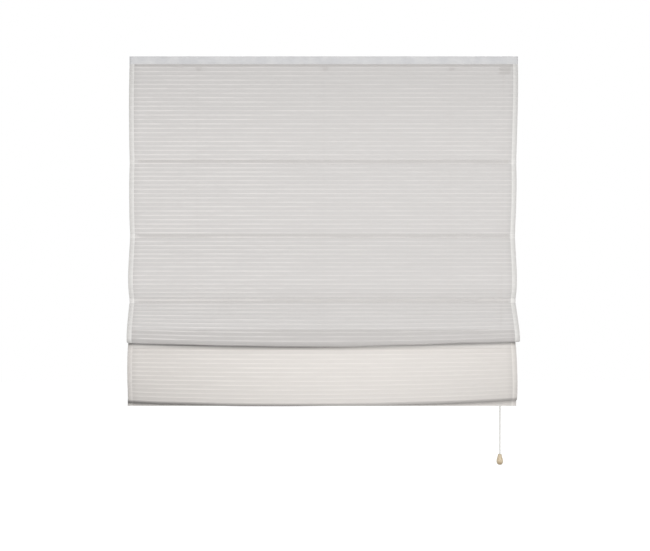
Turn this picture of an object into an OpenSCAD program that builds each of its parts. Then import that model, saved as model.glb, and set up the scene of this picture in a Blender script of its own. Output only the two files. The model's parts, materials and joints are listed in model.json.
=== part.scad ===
// Sheer ribbed roman blind, partly raised, on a corded headrail.
// X runs along the headrail, Z is up, the front faces -Y and the wall is the plane Y = 0.
// The origin is the centre of the four bracket screw holes.

/* [Cloth] */
// Finished width of the cloth
blind_width = 1200; // [1100:10:1800]
// Width of the turned side hems
side_hem = 15; // [8:1:25]
// Thickness of one layer of cloth
cloth_t = 0.6; // [0.4:0.1:0.8]
// Spacing of the woven ribs along the cloth
rib_pitch = 13.5; // [12:0.5:30]
// Height of a rib above the cloth
rib_h = 0.4; // [0.2:0.1:0.6]
// How far the right edge is drawn in at the fourth rod
edge_draw = 10; // [0:1:12]
// How far the left edge spreads at the bottom hem
edge_spread = 8; // [0:1:12]

/* [Heading] */
// Height of the opaque band across the top
band_h = 24; // [23:1:34]
// Thickness of the band
band_t = 0.8; // [0.5:0.1:1.5]
// Height of the hook and loop tapes
grip_tape_h = 16; // [10:1:17]
// Thickness of the hook tape and of the loop tape
grip_tape_t = 1.2; // [0.8:0.1:2]

/* [Hang] */
// From the top of the band down to the first rod
rod_1_drop = 325; // [250:5:420]
// From the first rod to the second
rod_2_gap = 230; // [180:5:300]
// From the second rod to the third
rod_3_gap = 200; // [160:5:300]
// From the third rod to the fourth, where the upper fold hangs
rod_4_gap = 100; // [80:5:140]
// From the fourth rod to the fifth
rod_5_gap = 55; // [50:1:65]
// Forward belly of the cloth between the heading and the second rod
upper_belly = 14; // [0:1:20]
// Forward belly of the cloth between the second and third rods
middle_belly = 27; // [10:1:50]
// How far the upper fold stands forward of the rods
fold_reach = 50; // [45:1:70]
// Lowest point of the upper fold below the fourth rod
fold_drop = 40; // [30:1:46]
// How far the last pleat stands forward of the rods
pleat_reach = 32; // [26:1:36]
// Lowest point of the last pleat below the fifth rod
pleat_drop = 169; // [140:1:230]
// Bottom edge of the hem below the fifth rod
hem_drop = 172; // [140:1:240]

/* [Rods and bar] */
// Diameter of the rods
rod_d = 4; // [3:0.5:6]
// Height of the pocket tapes
pocket_h = 14; // [12:1:20]
// Thickness of the pocket tapes
pocket_t = 0.5; // [0.3:0.1:0.8]
// Height of the bottom bar
bar_h = 22; // [14:1:26]
// Thickness of the bottom bar
bar_t = 4; // [2.5:0.5:6]

/* [Cords and rings] */
// Diameter of the lift cords
cord_d = 1.4; // [1:0.1:1.8]
// Distance between neighbouring lift cords
lift_gap = 394; // [300:1:500]
// Bore of the rings
ring_bore = 8; // [6:0.5:12]
// Thickness of the ring wire
ring_wire = 2; // [1.5:0.1:3]
// Distance of the pull cord from the middle of the blind
pull_x = 560; // [520:1:800]
// Largest diameter of the acorn
acorn_d = 20.5; // [16:0.5:28]
// Height of the acorn
acorn_h = 32.4; // [26:0.2:44]
// Drop of the acorn's top below the hem
acorn_drop = 151; // [100:1:400]

/* [Headrail] */
// Depth of the headrail from front to back
rail_depth = 36; // [34:1:48]
// Wall of the headrail
rail_wall = 1.5; // [1:0.1:2]
// Distance of each rail end from the edge of the cloth
rail_inset = 4; // [2:1:10]
// Thickness of the end caps
cap_t = 2; // [1.5:0.1:4]
// Width of the slot in the bottom of the rail
bottom_slot = 16; // [15.6:0.1:18]
// Outer diameter of the guide wheels and the lock wheel
wheel_d = 13; // [12:0.1:14]
// Diameter at the bottom of the wheel grooves
groove_d = 8.8; // [7:0.1:9.6]
// Diameter of the axle pins
pin_d = 3; // [2:0.1:4]

/* [Brackets] */
// Distance between the two wall brackets
bracket_gap = 900; // [700:10:1000]
// Width of a bracket
bracket_w = 34; // [28:1:40]
// Thickness of the bracket steel
bracket_t = 2; // [1.5:0.1:2.5]
// Diameter of the wall screw holes
screw_hole_d = 4.5; // [3.5:0.1:5.5]
// Vertical distance between the wall screw holes
screw_gap = 11; // [9:0.5:12]
// Room between the wall plate and the back of the rail
finger_gap = 12; // [11:1:20]
// Diameter of the rivet that the swivel clip turns on
rivet_d = 4; // [3:0.1:5]

/* [Hidden] */
$fn = 64;
overrun = 1;

// Clearances: running holes, pieces that pass each other, and flat seats
run_gap = 0.05;
pass_gap = 0.3;
seat_gap = 0.1;

// Heights from the top of the band down through bracket, clip and rail
rivet_gap = 0.5;
rivet_head_t = 1.2;
rivet_head_d = 2 * rivet_d;
rivet_tail_t = 0.6;
rivet_tail_share = 1.6;
rivet_tail_d = rivet_tail_share * rivet_d;
clip_t = 2;
cam_t = 2.4;
plate_h = 22;
top_z = rivet_gap + rivet_head_t + plate_h / 2;
leg_top = top_z - rivet_gap - rivet_head_t;
leg_bottom = leg_top - bracket_t;
clip_top = leg_bottom - pass_gap;
clip_bottom = clip_top - clip_t;
rail_top = clip_bottom - pass_gap;
rail_bottom = top_z - band_h;
cam_top = rail_top - rail_wall - pass_gap;
cam_bottom = cam_top - cam_t;
channel_floor = cam_bottom - rivet_tail_t - pass_gap;
channel_bottom = channel_floor - rail_wall;
lip_top = rail_bottom + rail_wall;

// Depths from the wall to the front
rail_y = -bracket_t - finger_gap - rail_depth / 2;
rail_front = rail_y - rail_depth / 2;
hook_front = rail_front - seat_gap - grip_tape_t;
loop_front = hook_front - seat_gap - grip_tape_t;
head_y = loop_front - seat_gap - cloth_t;
band_front = head_y - seat_gap - band_t;

// The rail, its top channel for the clips and its ends
rail_half = blind_width / 2 - rail_inset - cap_t;
top_slot = 10;
neck_gap = 0.7;
neck_d = top_slot - 2 * neck_gap;
channel_w = 18;
cam_end_gap = 0.75;
cam_length = channel_w - 2 * cam_end_gap;
cam_rim = 0.1;
cam_w = neck_d + 2 * cam_rim;
lever_end_gap = 3;
lever_reach = rail_depth / 2 + finger_gap - lever_end_gap;
lever_w = 8;
lever_eye_d = 14;
lever_hole_d = 4;
spigot_length = 8;
spigot_wall = 1.6;
rail_corner_r = 2;

// Rings, pocket tapes and the planes that the cloth hangs in
ring_mean_r = (ring_bore + ring_wire) / 2;
ring_front = rail_y - ring_mean_r - ring_wire / 2;
tunnel_r = rod_d / 2 + pass_gap;
tunnel_y = ring_front - pass_gap - pocket_t - tunnel_r;
pocket_front = tunnel_y - tunnel_r - pocket_t;
rod_y = pocket_front - seat_gap - cloth_t;
hem_back = ring_front - pass_gap;
bar_y = hem_back - cloth_t - pass_gap - bar_t / 2;
hem_front = bar_y - bar_t / 2 - pass_gap - cloth_t;
hem_turn_r = (hem_back - hem_front) / 2;
hem_step = 1;
pocket_half = blind_width / 2 - side_hem - hem_step - edge_draw - pass_gap;
rod_end_gap = 4;

// Heights of the rods, the folds and the hem
rod_z = [
    top_z - rod_1_drop,
    top_z - rod_1_drop - rod_2_gap,
    top_z - rod_1_drop - rod_2_gap - rod_3_gap,
    top_z - rod_1_drop - rod_2_gap - rod_3_gap - rod_4_gap,
    top_z - rod_1_drop - rod_2_gap - rod_3_gap - rod_4_gap - rod_5_gap
];
hem_bottom = rod_z[4] - hem_drop;
hem_lap = 2.7;
hem_top = hem_bottom + hem_turn_r + bar_h + hem_lap;
bar_bottom = hem_bottom + hem_turn_r;
bottom_ring_z = hem_top - ring_bore;

// How much each fold rises towards its ends, and where along the width it hangs lowest
fold_rise_left = 12;
fold_rise_right = 15;
pleat_rise_left = 10;
pleat_rise_right = 19;
low_share = 0.45;
turn_gap = 7;

// Lift cords, the level they run at inside the rail, and the wheels they turn over
lift_x = [-lift_gap, 0, lift_gap];
turn_r = groove_d / 2 + pass_gap + cord_d / 2;
run_drop = 3.6;
run_z = channel_bottom - run_drop;
wheel_z = run_z - turn_r;
wheel_w = 5;
pin_hole_d = pin_d + 2 * run_gap;
wheel_gap = 0.4;
slot_half = wheel_w / 2 + wheel_gap;
neck_half = bottom_slot / 2 - wheel_gap;
ear_wall = 1.8;
ear_top = wheel_z + pin_d / 2 + ear_wall;
wing_half = 12;
wing_t = 2;
rim_gap = 0.6;
wheel_room_r = wheel_d / 2 + rim_gap;
guide_w = 17.5;
guide_half = 6;
guide_drop = 16;
eyelet_gap = 1;
eyelet_d = cord_d + 2 * eyelet_gap;
eyelet_side = 4.1;
eyelet_flare = 1.6;

// Cord lock: wheel for three cords, toothed pawl and the walls round them
lock_cord_gap = 2.2;
lock_wheel_w = 9;
lock_flange_t = 1.1;
lock_slot_half = lock_wheel_w / 2 + wheel_gap;
lock_drop = 26;
lock_left = 14;
lock_right = 20;
lock_wheel_x = pull_x - turn_r;
pawl_r = 4;
pawl_face = 7;
pawl_x = pull_x + cord_d / 2 + pass_gap + pawl_face;
pawl_drop = 5;
pawl_z = wheel_z - wheel_d / 2 - pawl_drop;
pawl_top = 0.6;
pawl_length = 4.5;
pawl_side_gap = 0.5;
pawl_w = lock_wheel_w - 2 * pawl_side_gap;
tail_reach = 8;
tail_half = 3;
pawl_room_r = 9.2;
tooth_count = 4;
tooth_depth = 0.8;

// Side runs of the cords inside the rail, and the acorn that hangs from them
side_run = 7;
acorn_sway = 12;
acorn_x = pull_x - acorn_sway;
acorn_top = hem_bottom - acorn_drop;
strand_clearance = 0.5;
strand_gap = cord_d + strand_clearance;
acorn_bore_d = 2 * strand_gap + cord_d + 2 * pass_gap;
acorn_knot_d = 8;
acorn_room_d = acorn_knot_d + 2 * pass_gap;
acorn_room_h_share = 0.5;
knot_d = 5;
cord_sides = 8;

// Colours
cloth_colour = "#e6e2dc";
band_colour = "#d8d8d9";
rail_colour = "#e9e9e6";
plastic_colour = "#f0efea";
cord_colour = "#f2efe8";
steel_colour = "#c9cbcc";
wood_colour = "#e2cfa6";

// Curves

// Point of a cubic curve at t, from its two ends and two handles
function curve_point(p, t) =
    pow(1 - t, 3) * p[0] + 3 * pow(1 - t, 2) * t * p[1] + 3 * (1 - t) * t * t * p[2] + pow(t, 3) * p[3];

// The curve as a list of points
curve_steps = 24;
function curve(p) = [for (i = [0:curve_steps]) curve_point(p, i / curve_steps)];

// Half circle in the YZ plane from angle a, turned by sweep
arc_steps = 6;
function arc(centre, r, a, sweep) =
    [for (i = [0:arc_steps]) let (t = a + sweep * i / arc_steps) centre + r * [cos(t), sin(t)]];

// Running length along a list of points
function lengths(pts) = [
    for (i = 0, s = 0; i < len(pts); s = s + (i + 1 < len(pts) ? norm(pts[i + 1] - pts[i]) : 0), i = i + 1) s
];

// The points at count + 1 even steps of length along a list of points
function even_steps(pts, count) =
    let (
        s = lengths(pts),
        ys = [for (i = [0:len(pts) - 1]) [s[i], pts[i][0]]],
        zs = [for (i = [0:len(pts) - 1]) [s[i], pts[i][1]]],
        total = s[len(s) - 1]
    )
    [for (i = [0:count]) [lookup(total * i / count, ys), lookup(total * i / count, zs)]];

// How much an edge rises at a share u of the width: a parabola on each side of its lowest point
function rise(u, left, right) =
    u < low_share
        ? left * pow((low_share - u) / low_share, 2)
        : right * pow((u - low_share) / (1 - low_share), 2);

// Cloth stretches, as points of the front face in the YZ plane at a share u of the width

// Belly between two points: the shares say how far its upper and lower handles stand forward
upper_belly_shares = [0.8, 1.1];
middle_belly_shares = [0.5, 1.6];
handle_share = 0.33;
function belly(p, q, depth, shares) =
    let (h = handle_share * (p[1] - q[1]))
    curve([p, p - [shares[0] * depth, h], q + [-shares[1] * depth, h], q]);

function pocket_top(i) = [rod_y, rod_z[i] + pocket_h / 2];
function pocket_bottom(i) = [rod_y, rod_z[i] - pocket_h / 2];

// A fold swells forward to its lip, turns under and comes up behind to the hairpin above rod i.
// Its shares are how far the front leans out, how far down it does so and how far it swells, and then how far
// the back runs under and how far it comes straight up.
lip_share = 0.72;
fold_shares = [0.5, 0.35, 1.5, 0.2, 0.15];
pleat_shares = [1.6, 0.1, 1.12, 0.45, 0.5];
function fold_lip(reach, z) = [rod_y - lip_share * reach, z];
function fold_front(p, lip, reach, shares) =
    curve([
        p,
        p - [shares[0] * reach, shares[1] * (p[1] - lip[1])],
        lip - [(shares[2] - lip_share) * reach, 0],
        lip
    ]);
function fold_back(lip, i, shares) =
    let (turn = pocket_top(i) - [turn_gap, 0], run = turn - lip)
    curve([lip, lip + [shares[3] * run[0], 0], turn - [0, shares[4] * run[1]], turn]);
function hairpin(i) = arc(pocket_top(i) - [turn_gap / 2, 0], turn_gap / 2, 180, -180);

// The stretches from top to bottom; all have ribs but the heading, the hairpins and the turned hem
function stretches(u) =
    let (
        fold_z = rod_z[3] - fold_drop + rise(u, fold_rise_left, fold_rise_right),
        pleat_z = rod_z[4] - pleat_drop + rise(u, pleat_rise_left, pleat_rise_right),
        upper_lip = fold_lip(fold_reach, fold_z),
        lower_lip = fold_lip(pleat_reach, pleat_z),
        turn = [hem_front + hem_turn_r, hem_bottom + hem_turn_r]
    )
    [
        [[head_y, top_z], [head_y, rail_bottom]],
        belly([head_y, rail_bottom], pocket_top(0), upper_belly, upper_belly_shares),
        [pocket_top(0), pocket_bottom(0)],
        belly(pocket_bottom(0), pocket_top(1), upper_belly, upper_belly_shares),
        [pocket_top(1), pocket_bottom(1)],
        belly(pocket_bottom(1), pocket_top(2), middle_belly, middle_belly_shares),
        [pocket_top(2), pocket_bottom(2)],
        fold_front(pocket_bottom(2), upper_lip, fold_reach, fold_shares),
        fold_back(upper_lip, 3, fold_shares),
        hairpin(3),
        [pocket_top(3), pocket_bottom(3)],
        fold_front(pocket_bottom(3), lower_lip, pleat_reach, pleat_shares),
        fold_back(lower_lip, 4, pleat_shares),
        hairpin(4),
        [pocket_top(4), pocket_bottom(4)],
        [pocket_bottom(4), [hem_front, hem_top], [hem_front, turn[1]]],
        arc(turn, hem_turn_r, 180, 180),
        [[hem_back, turn[1]], [hem_back, hem_top]]
    ];
plain_stretches = [0, 9, 13, 16, 17];
plain_rows = [2, arc_steps, arc_steps, arc_steps, 2];
middle_stretches = stretches(1 / 2);
row_counts = [
    for (k = [0:len(middle_stretches) - 1])
        let (
            s = lengths(middle_stretches[k]),
            plain = search(k, plain_stretches)
        )
        len(plain) > 0 ? plain_rows[plain[0]] : 2 * max(1, round(s[len(s) - 1] / rib_pitch))
];

// Front face of the cloth at a share u of the width: [y, z, rib height] for each row
function rows(u) =
    let (all = stretches(u))
    concat(
        [
            for (k = [0:len(all) - 1])
                let (pts = even_steps(all[k], row_counts[k]), ribbed = len(search(k, plain_stretches)) == 0)
                for (i = [0:row_counts[k] - 1]) [pts[i][0], pts[i][1], ribbed && i % 2 == 1 ? rib_h : 0]
        ],
        [[hem_back, hem_top, 0]]
    );

// Unit normal of the front face at row i, from its neighbours
function normal(r, i) =
    let (
        a = r[max(i - 1, 0)],
        b = r[min(i + 1, len(r) - 1)],
        t = [b[0] - a[0], b[1] - a[1]]
    )
    [t[1], -t[0]] / norm(t);

// Columns across the width: [place from the left edge as a share, layers], with both side hems doubled
hem_share = side_hem / blind_width;
hem_step_share = hem_step / blind_width;
inner_shares = [0.25, 0.5, 0.75];
columns = concat(
    [[0, 2], [hem_share, 2], [hem_share + hem_step_share, 1]],
    [for (u = inner_shares) [u, 1]],
    [[1 - hem_share - hem_step_share, 1], [1 - hem_share, 2], [1, 2]]
);
column_rows = [for (c = columns) rows(c[0])];
row_total = len(column_rows[0]);
column_total = len(columns);

// The cloth hangs from nine places: heading, rods 1 to 3, lip, rod 4, lip, rod 5 and hem. At each the right
// edge is drawn in and the left edge spreads by a share of the full amount, with a smooth change in between.
stretch_places = [0, 0, 1, 1, 2, 2, 3, 3, 4, 5, 5, 5, 6, 7, 7, 7, 8, 8, 8];
draw_shares = [0, 0.32, 0.7, 0.52, 0.2, 1, 0.6, 0.5, 0.3];
spread_shares = [0, 0.2, 0.05, 0.28, 0, 0.2, 0.15, 0.4, 1];
function ease(t) = t * t * (3 - 2 * t);
function row_amounts(full, shares) = concat(
    [
        for (k = [0:len(row_counts) - 1])
            let (from = shares[stretch_places[k]], to = shares[stretch_places[k + 1]])
            for (i = [0:row_counts[k] - 1]) full * (from + (to - from) * ease(i / row_counts[k]))
    ],
    [full * shares[len(shares) - 1]]
);
row_draws = row_amounts(edge_draw, draw_shares);
row_spreads = row_amounts(edge_spread, spread_shares);

// Place of row i at a share u of the width
function across(u, i) =
    -blind_width / 2 - row_spreads[i] + u * (blind_width + row_spreads[i] - row_draws[i]);

function cloth_point(j, i, back) =
    let (
        r = column_rows[j][i],
        n = normal(column_rows[j], i),
        off = back ? -columns[j][1] * cloth_t : r[2],
        yz = [r[0], r[1]] + off * n
    )
    [across(columns[j][0], i), yz[0], yz[1]];

// Tube along a route: rings of points square to the route, joined into one closed solid

function unit(v) = v / norm(v);
function route_way(pts, i) = unit(pts[min(i + 1, len(pts) - 1)] - pts[max(i - 1, 0)]);
side_way = [0, 1, 0];
module tube(pts, d) {
    n = len(pts);
    sides = cord_sides;
    points = [
        for (i = [0:n - 1])
            let (
                w = route_way(pts, i),
                a = unit(side_way - (side_way * w) * w),
                b = cross(w, a)
            )
            for (k = [0:sides - 1]) pts[i] + d / 2 * (cos(360 * k / sides) * a + sin(360 * k / sides) * b)
    ];
    walls = [
        for (i = [0:n - 2])
            for (k = [0:sides - 1])
                let (k2 = (k + 1) % sides)
                each [
                    [i * sides + k, (i + 1) * sides + k, i * sides + k2],
                    [i * sides + k2, (i + 1) * sides + k, (i + 1) * sides + k2]
                ]
    ];
    ends = [[for (k = [0:sides - 1]) k], [for (k = [0:sides - 1]) n * sides - 1 - k]];
    polyhedron(points, concat(walls, ends));
}

// Quarter turn of a cord over a wheel, clockwise from angle a
turn_steps = 6;
function quarter(x, y, a) = [
    for (i = [0:turn_steps])
        let (t = a - 90 * i / turn_steps)
        [x + turn_r * cos(t), y, wheel_z + turn_r * sin(t)]
];

// Whole route of lift cord i: up from its ring, over its wheel, along the rail, over the lock and down.
// The cords keep to lanes, so that the two longer ones pass on either side of the other wheels.
cord_lanes = [-1, 1, 0];
strand_lead = 10;
strand_end = acorn_top - acorn_h * (1 - acorn_room_h_share);
run_lead = 40;
function lift_route(i) =
    let (
        lane = cord_lanes[i],
        y = rail_y + lane * lock_cord_gap,
        x = lift_x[i],
        side_y = rail_y + lane * side_run,
        strand_x = acorn_x + lane * strand_gap
    )
    concat(
        [[x, rail_y, bottom_ring_z + knot_d / 2 + seat_gap]],
        quarter(x + turn_r, rail_y, 180),
        [[x + turn_r + run_lead, side_y, run_z]],
        [[lift_gap + turn_r + 2 * run_lead, side_y, run_z]],
        [[lock_wheel_x - lock_left, y, run_z]],
        quarter(lock_wheel_x, y, 90),
        [[pull_x, y, pawl_z - pawl_room_r]],
        [[(pull_x + strand_x) / 2, (y + rail_y) / 2, (pawl_z + acorn_top) / 2]],
        [[strand_x, rail_y, acorn_top + strand_lead]],
        [[strand_x, rail_y, strand_end]]
    );

// Shared shapes

// Bar along X with its profile drawn in the YZ plane
module along_x(length) {
    rotate([90, 0, 90]) linear_extrude(length, center = true) children();
}

// Plate along Y with its outline drawn in the XZ plane
module along_y(width) {
    rotate([90, 0, 0]) linear_extrude(width, center = true) children();
}

// Rectangle between two corners
module span(a, b) {
    translate(a) square(b - a);
}

// Rectangle between two corners, with rounded corners
module round_span(a, b, r) {
    span(a + [r, 0], b - [r, 0]);
    span(a + [0, r], b - [0, r]);
    for (x = [a[0] + r, b[0] - r], y = [a[1] + r, b[1] - r]) translate([x, y]) circle(r = r);
}

// Round pin or bore along Y
module pin_y(x, z, d, length) {
    translate([x, rail_y, z]) rotate([90, 0, 0]) cylinder(d = d, h = length, center = true);
}

// Solid turned about Y from its half section
module turned_y() {
    rotate([90, 0, 0]) rotate_extrude() children();
}

module ring(x, z) {
    translate([x, rail_y, z]) rotate_extrude() translate([ring_mean_r, 0]) circle(d = ring_wire);
}

// Headrail

module headrail() {
    inner_half = rail_depth / 2 - rail_wall;
    color(rail_colour) along_x(2 * rail_half) translate([rail_y, 0]) difference() {
        union() {
            difference() {
                round_span([-rail_depth / 2, rail_bottom], [rail_depth / 2, rail_top], rail_corner_r);
                span([-inner_half, lip_top], [inner_half, rail_top - rail_wall]);
            }
            span([-channel_w / 2 - rail_wall, channel_bottom], [channel_w / 2 + rail_wall, rail_top]);
        }
        span([-channel_w / 2, channel_floor], [channel_w / 2, rail_top - rail_wall]);
        span([-top_slot / 2, channel_floor], [top_slot / 2, rail_top + overrun]);
        span([-bottom_slot / 2, rail_bottom - overrun], [bottom_slot / 2, lip_top + overrun]);
    }
}

// Plate over the end of the rail, with a hollow spigot that fits under the channel
module end_cap(side) {
    spigot_half = rail_depth / 2 - rail_wall - pass_gap;
    low = [-spigot_half, lip_top + pass_gap];
    high = [spigot_half, channel_bottom - pass_gap];
    color(plastic_colour) {
        translate([side * (rail_half + cap_t / 2), rail_y, 0]) along_x(cap_t)
            round_span([-rail_depth / 2, rail_bottom], [rail_depth / 2, rail_top], rail_corner_r);
        translate([side * (rail_half - spigot_length / 2), rail_y, 0]) along_x(spigot_length) difference() {
            span(low, high);
            span(low + [spigot_wall, spigot_wall], high - [spigot_wall, spigot_wall]);
        }
    }
}
module end_cap_left() { end_cap(-1); }
module end_cap_right() { end_cap(1); }

grip_z = (rail_top + rail_bottom) / 2;
module grip_tape(front, half) {
    along_x(2 * half)
        span([front, grip_z - grip_tape_h / 2], [front + grip_tape_t, grip_z + grip_tape_h / 2]);
}
module hook_tape() { color(plastic_colour) grip_tape(hook_front, rail_half); }
loop_half = blind_width / 2 - side_hem - hem_step - pass_gap;
module loop_tape() { color(band_colour) grip_tape(loop_front, loop_half); }

// Opaque band sewn to the front of the cloth
module heading_band() {
    color(band_colour) along_x(blind_width)
        span([band_front, rail_bottom], [band_front + band_t, top_z]);
}

// Cloth

// One closed sheet: a front grid, a back grid and the four edges between them
module cloth() {
    n = row_total;
    m = column_total;
    half = n * m;
    points = [
        for (back = [false, true])
            for (i = [0:n - 1])
                for (j = [0:m - 1]) cloth_point(j, i, back)
    ];
    grid = [
        for (i = [0:n - 2])
            for (j = [0:m - 2])
                let (a = i * m + j, b = a + 1, c = a + m, d = c + 1)
                each [
                    [a, b, c], [b, d, c],
                    [half + a, half + c, half + b], [half + b, half + c, half + d]
                ]
    ];
    sides = [
        for (i = [0:n - 2])
            let (a = i * m, c = a + m, e = a + m - 1, g = e + m)
            each [
                [a, c, half + a], [c, half + c, half + a],
                [e, half + e, g], [g, half + e, half + g]
            ]
    ];
    ends = [
        for (j = [0:m - 2])
            let (a = j, b = j + 1, c = (n - 1) * m + j, d = c + 1)
            each [
                [a, half + a, b], [b, half + a, half + b],
                [c, d, half + c], [d, half + d, half + c]
            ]
    ];
    color(cloth_colour) polyhedron(points, concat(grid, sides, ends));
}

// Pocket tape sewn to the back of the cloth: a flat strip with a round tunnel for the rod
module pocket_tape(i) {
    color(cloth_colour) along_x(2 * pocket_half) translate([tunnel_y, rod_z[i]]) difference() {
        union() {
            span([-tunnel_r - pocket_t, -pocket_h / 2], [-tunnel_r, pocket_h / 2]);
            circle(r = tunnel_r + pocket_t);
        }
        circle(r = tunnel_r);
    }
}
module rod(i) {
    color(plastic_colour) translate([0, tunnel_y, rod_z[i]])
        rotate([0, 90, 0]) cylinder(d = rod_d, h = 2 * (pocket_half - rod_end_gap), center = true);
}
module ring_row(i) {
    color(plastic_colour) for (x = lift_x) ring(x, rod_z[i]);
}
module pocket_tape_1() { pocket_tape(0); }
module pocket_tape_2() { pocket_tape(1); }
module pocket_tape_3() { pocket_tape(2); }
module pocket_tape_4() { pocket_tape(3); }
module pocket_tape_5() { pocket_tape(4); }
module rod_1() { rod(0); }
module rod_2() { rod(1); }
module rod_3() { rod(2); }
module rod_4() { rod(3); }
module rod_5() { rod(4); }
module rings_1() { ring_row(0); }
module rings_2() { ring_row(1); }
module rings_3() { ring_row(2); }
module rings_4() { ring_row(3); }
module rings_5() { ring_row(4); }

// Flat bar with rounded edges inside the hem
module bottom_bar() {
    color(steel_colour) along_x(2 * pocket_half) translate([bar_y, bar_bottom]) {
        span([-bar_t / 2, bar_t / 2], [bar_t / 2, bar_h - bar_t / 2]);
        translate([0, bar_t / 2]) circle(d = bar_t);
        translate([0, bar_h - bar_t / 2]) circle(d = bar_t);
    }
}

// The bottom rings stand beside the cords, so that each cord is tied to its ring's side
module bottom_ring_row() {
    for (x = lift_x) ring(x - ring_mean_r, bottom_ring_z);
}
module rings_bottom() { color(plastic_colour) bottom_ring_row(); }
module ring_knots() {
    color(cord_colour) difference() {
        for (x = lift_x) translate([x, rail_y, bottom_ring_z]) sphere(d = knot_d);
        for (x = lift_x) translate([x - ring_mean_r, rail_y, bottom_ring_z])
            rotate_extrude() translate([ring_mean_r, 0]) circle(d = ring_wire + 2 * seat_gap);
    }
}

// Cords and acorn

module lift_cord_left() { color(cord_colour) tube(lift_route(0), cord_d); }
module lift_cord_centre() { color(cord_colour) tube(lift_route(1), cord_d); }
module lift_cord_right() { color(cord_colour) tube(lift_route(2), cord_d); }

// Turned acorn: neck, shoulder and belly as arcs and straight tapers, bored for the cords and their knot
neck_share = 0.58;
belly_share = 0.32;
foot_share = 0.55;
acorn_steps = 20;
function acorn_r(t) =
    t < 1 - belly_share
        ? acorn_d / 2 * (neck_share + (1 - neck_share) * pow(sin(90 * t / (1 - belly_share)), 2))
        : acorn_d / 2 * sqrt(1 - (1 - pow(foot_share, 2)) * pow((t - 1 + belly_share) / belly_share, 2));
module acorn() {
    room_h = acorn_h * acorn_room_h_share;
    color(wood_colour) translate([acorn_x, rail_y, acorn_top]) difference() {
        rotate_extrude() polygon(concat(
            [[0, 0]],
            [for (i = [0:acorn_steps]) [acorn_r(i / acorn_steps), -acorn_h * i / acorn_steps]],
            [[0, -acorn_h]]
        ));
        translate([0, 0, -acorn_h - overrun]) cylinder(d = acorn_bore_d, h = acorn_h + 2 * overrun);
        translate([0, 0, -acorn_h - overrun]) cylinder(d = acorn_room_d, h = room_h + overrun);
    }
}
module acorn_knot() {
    color(cord_colour) translate([acorn_x, rail_y, strand_end - acorn_knot_d / 2 - seat_gap])
        sphere(d = acorn_knot_d);
}

// Guides

// Guide for the lift cord at x: wings on the rail lips, a neck through the slot and a tongue with an eyelet
module guide(x) {
    wheel_x = x + turn_r;
    left = x - eyelet_side;
    right = left + guide_w;
    tongue_r = guide_w / 2;
    tongue_bottom = rail_bottom - guide_drop;
    wing_bottom = lip_top + seat_gap;
    color(plastic_colour) difference() {
        union() {
            translate([left, rail_y - wing_half, wing_bottom]) cube([guide_w, 2 * wing_half, wing_t]);
            translate([left, rail_y - neck_half, rail_bottom - pass_gap - overrun])
                cube([guide_w, 2 * neck_half, ear_top - rail_bottom + pass_gap + overrun]);
            translate([0, rail_y, 0]) along_y(2 * guide_half) {
                span([left, tongue_bottom + tongue_r], [right, wing_bottom]);
                translate([left + tongue_r, tongue_bottom + tongue_r]) circle(r = tongue_r);
            }
        }
        translate([wheel_x - wheel_room_r, rail_y - slot_half, wheel_z - wheel_room_r])
            cube([2 * wheel_room_r, 2 * slot_half, 4 * wheel_room_r]);
        pin_y(wheel_x, wheel_z, pin_hole_d, 4 * wing_half);
        translate([x, rail_y, tongue_bottom - overrun]) cylinder(d = eyelet_d, h = guide_drop + 2 * overrun);
        translate([x, rail_y, tongue_bottom])
            cylinder(d1 = eyelet_d + 2 * eyelet_flare, d2 = eyelet_d, h = 2 * eyelet_flare);
    }
}
module guide_left() { guide(lift_x[0]); }
module guide_centre() { guide(lift_x[1]); }
module guide_right() { guide(lift_x[2]); }
module guide_axles() {
    color(steel_colour) for (x = lift_x) pin_y(x + turn_r, wheel_z, pin_d, 2 * guide_half);
}

// Grooved wheel: two rims and a round groove between them, turned about Y
rim_t = 0.8;
module guide_wheel(x) {
    rim_r = wheel_d / 2;
    groove_r = groove_d / 2;
    color(plastic_colour) translate([x + turn_r, rail_y, wheel_z]) turned_y() polygon([
        [pin_hole_d / 2, -wheel_w / 2],
        [rim_r, -wheel_w / 2],
        [rim_r, -wheel_w / 2 + rim_t],
        [groove_r, -cord_d / 2 - pass_gap],
        [groove_r, cord_d / 2 + pass_gap],
        [rim_r, wheel_w / 2 - rim_t],
        [rim_r, wheel_w / 2],
        [pin_hole_d / 2, wheel_w / 2]
    ]);
}
module guide_wheel_left() { guide_wheel(lift_x[0]); }
module guide_wheel_centre() { guide_wheel(lift_x[1]); }
module guide_wheel_right() { guide_wheel(lift_x[2]); }

// Cord lock

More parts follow.
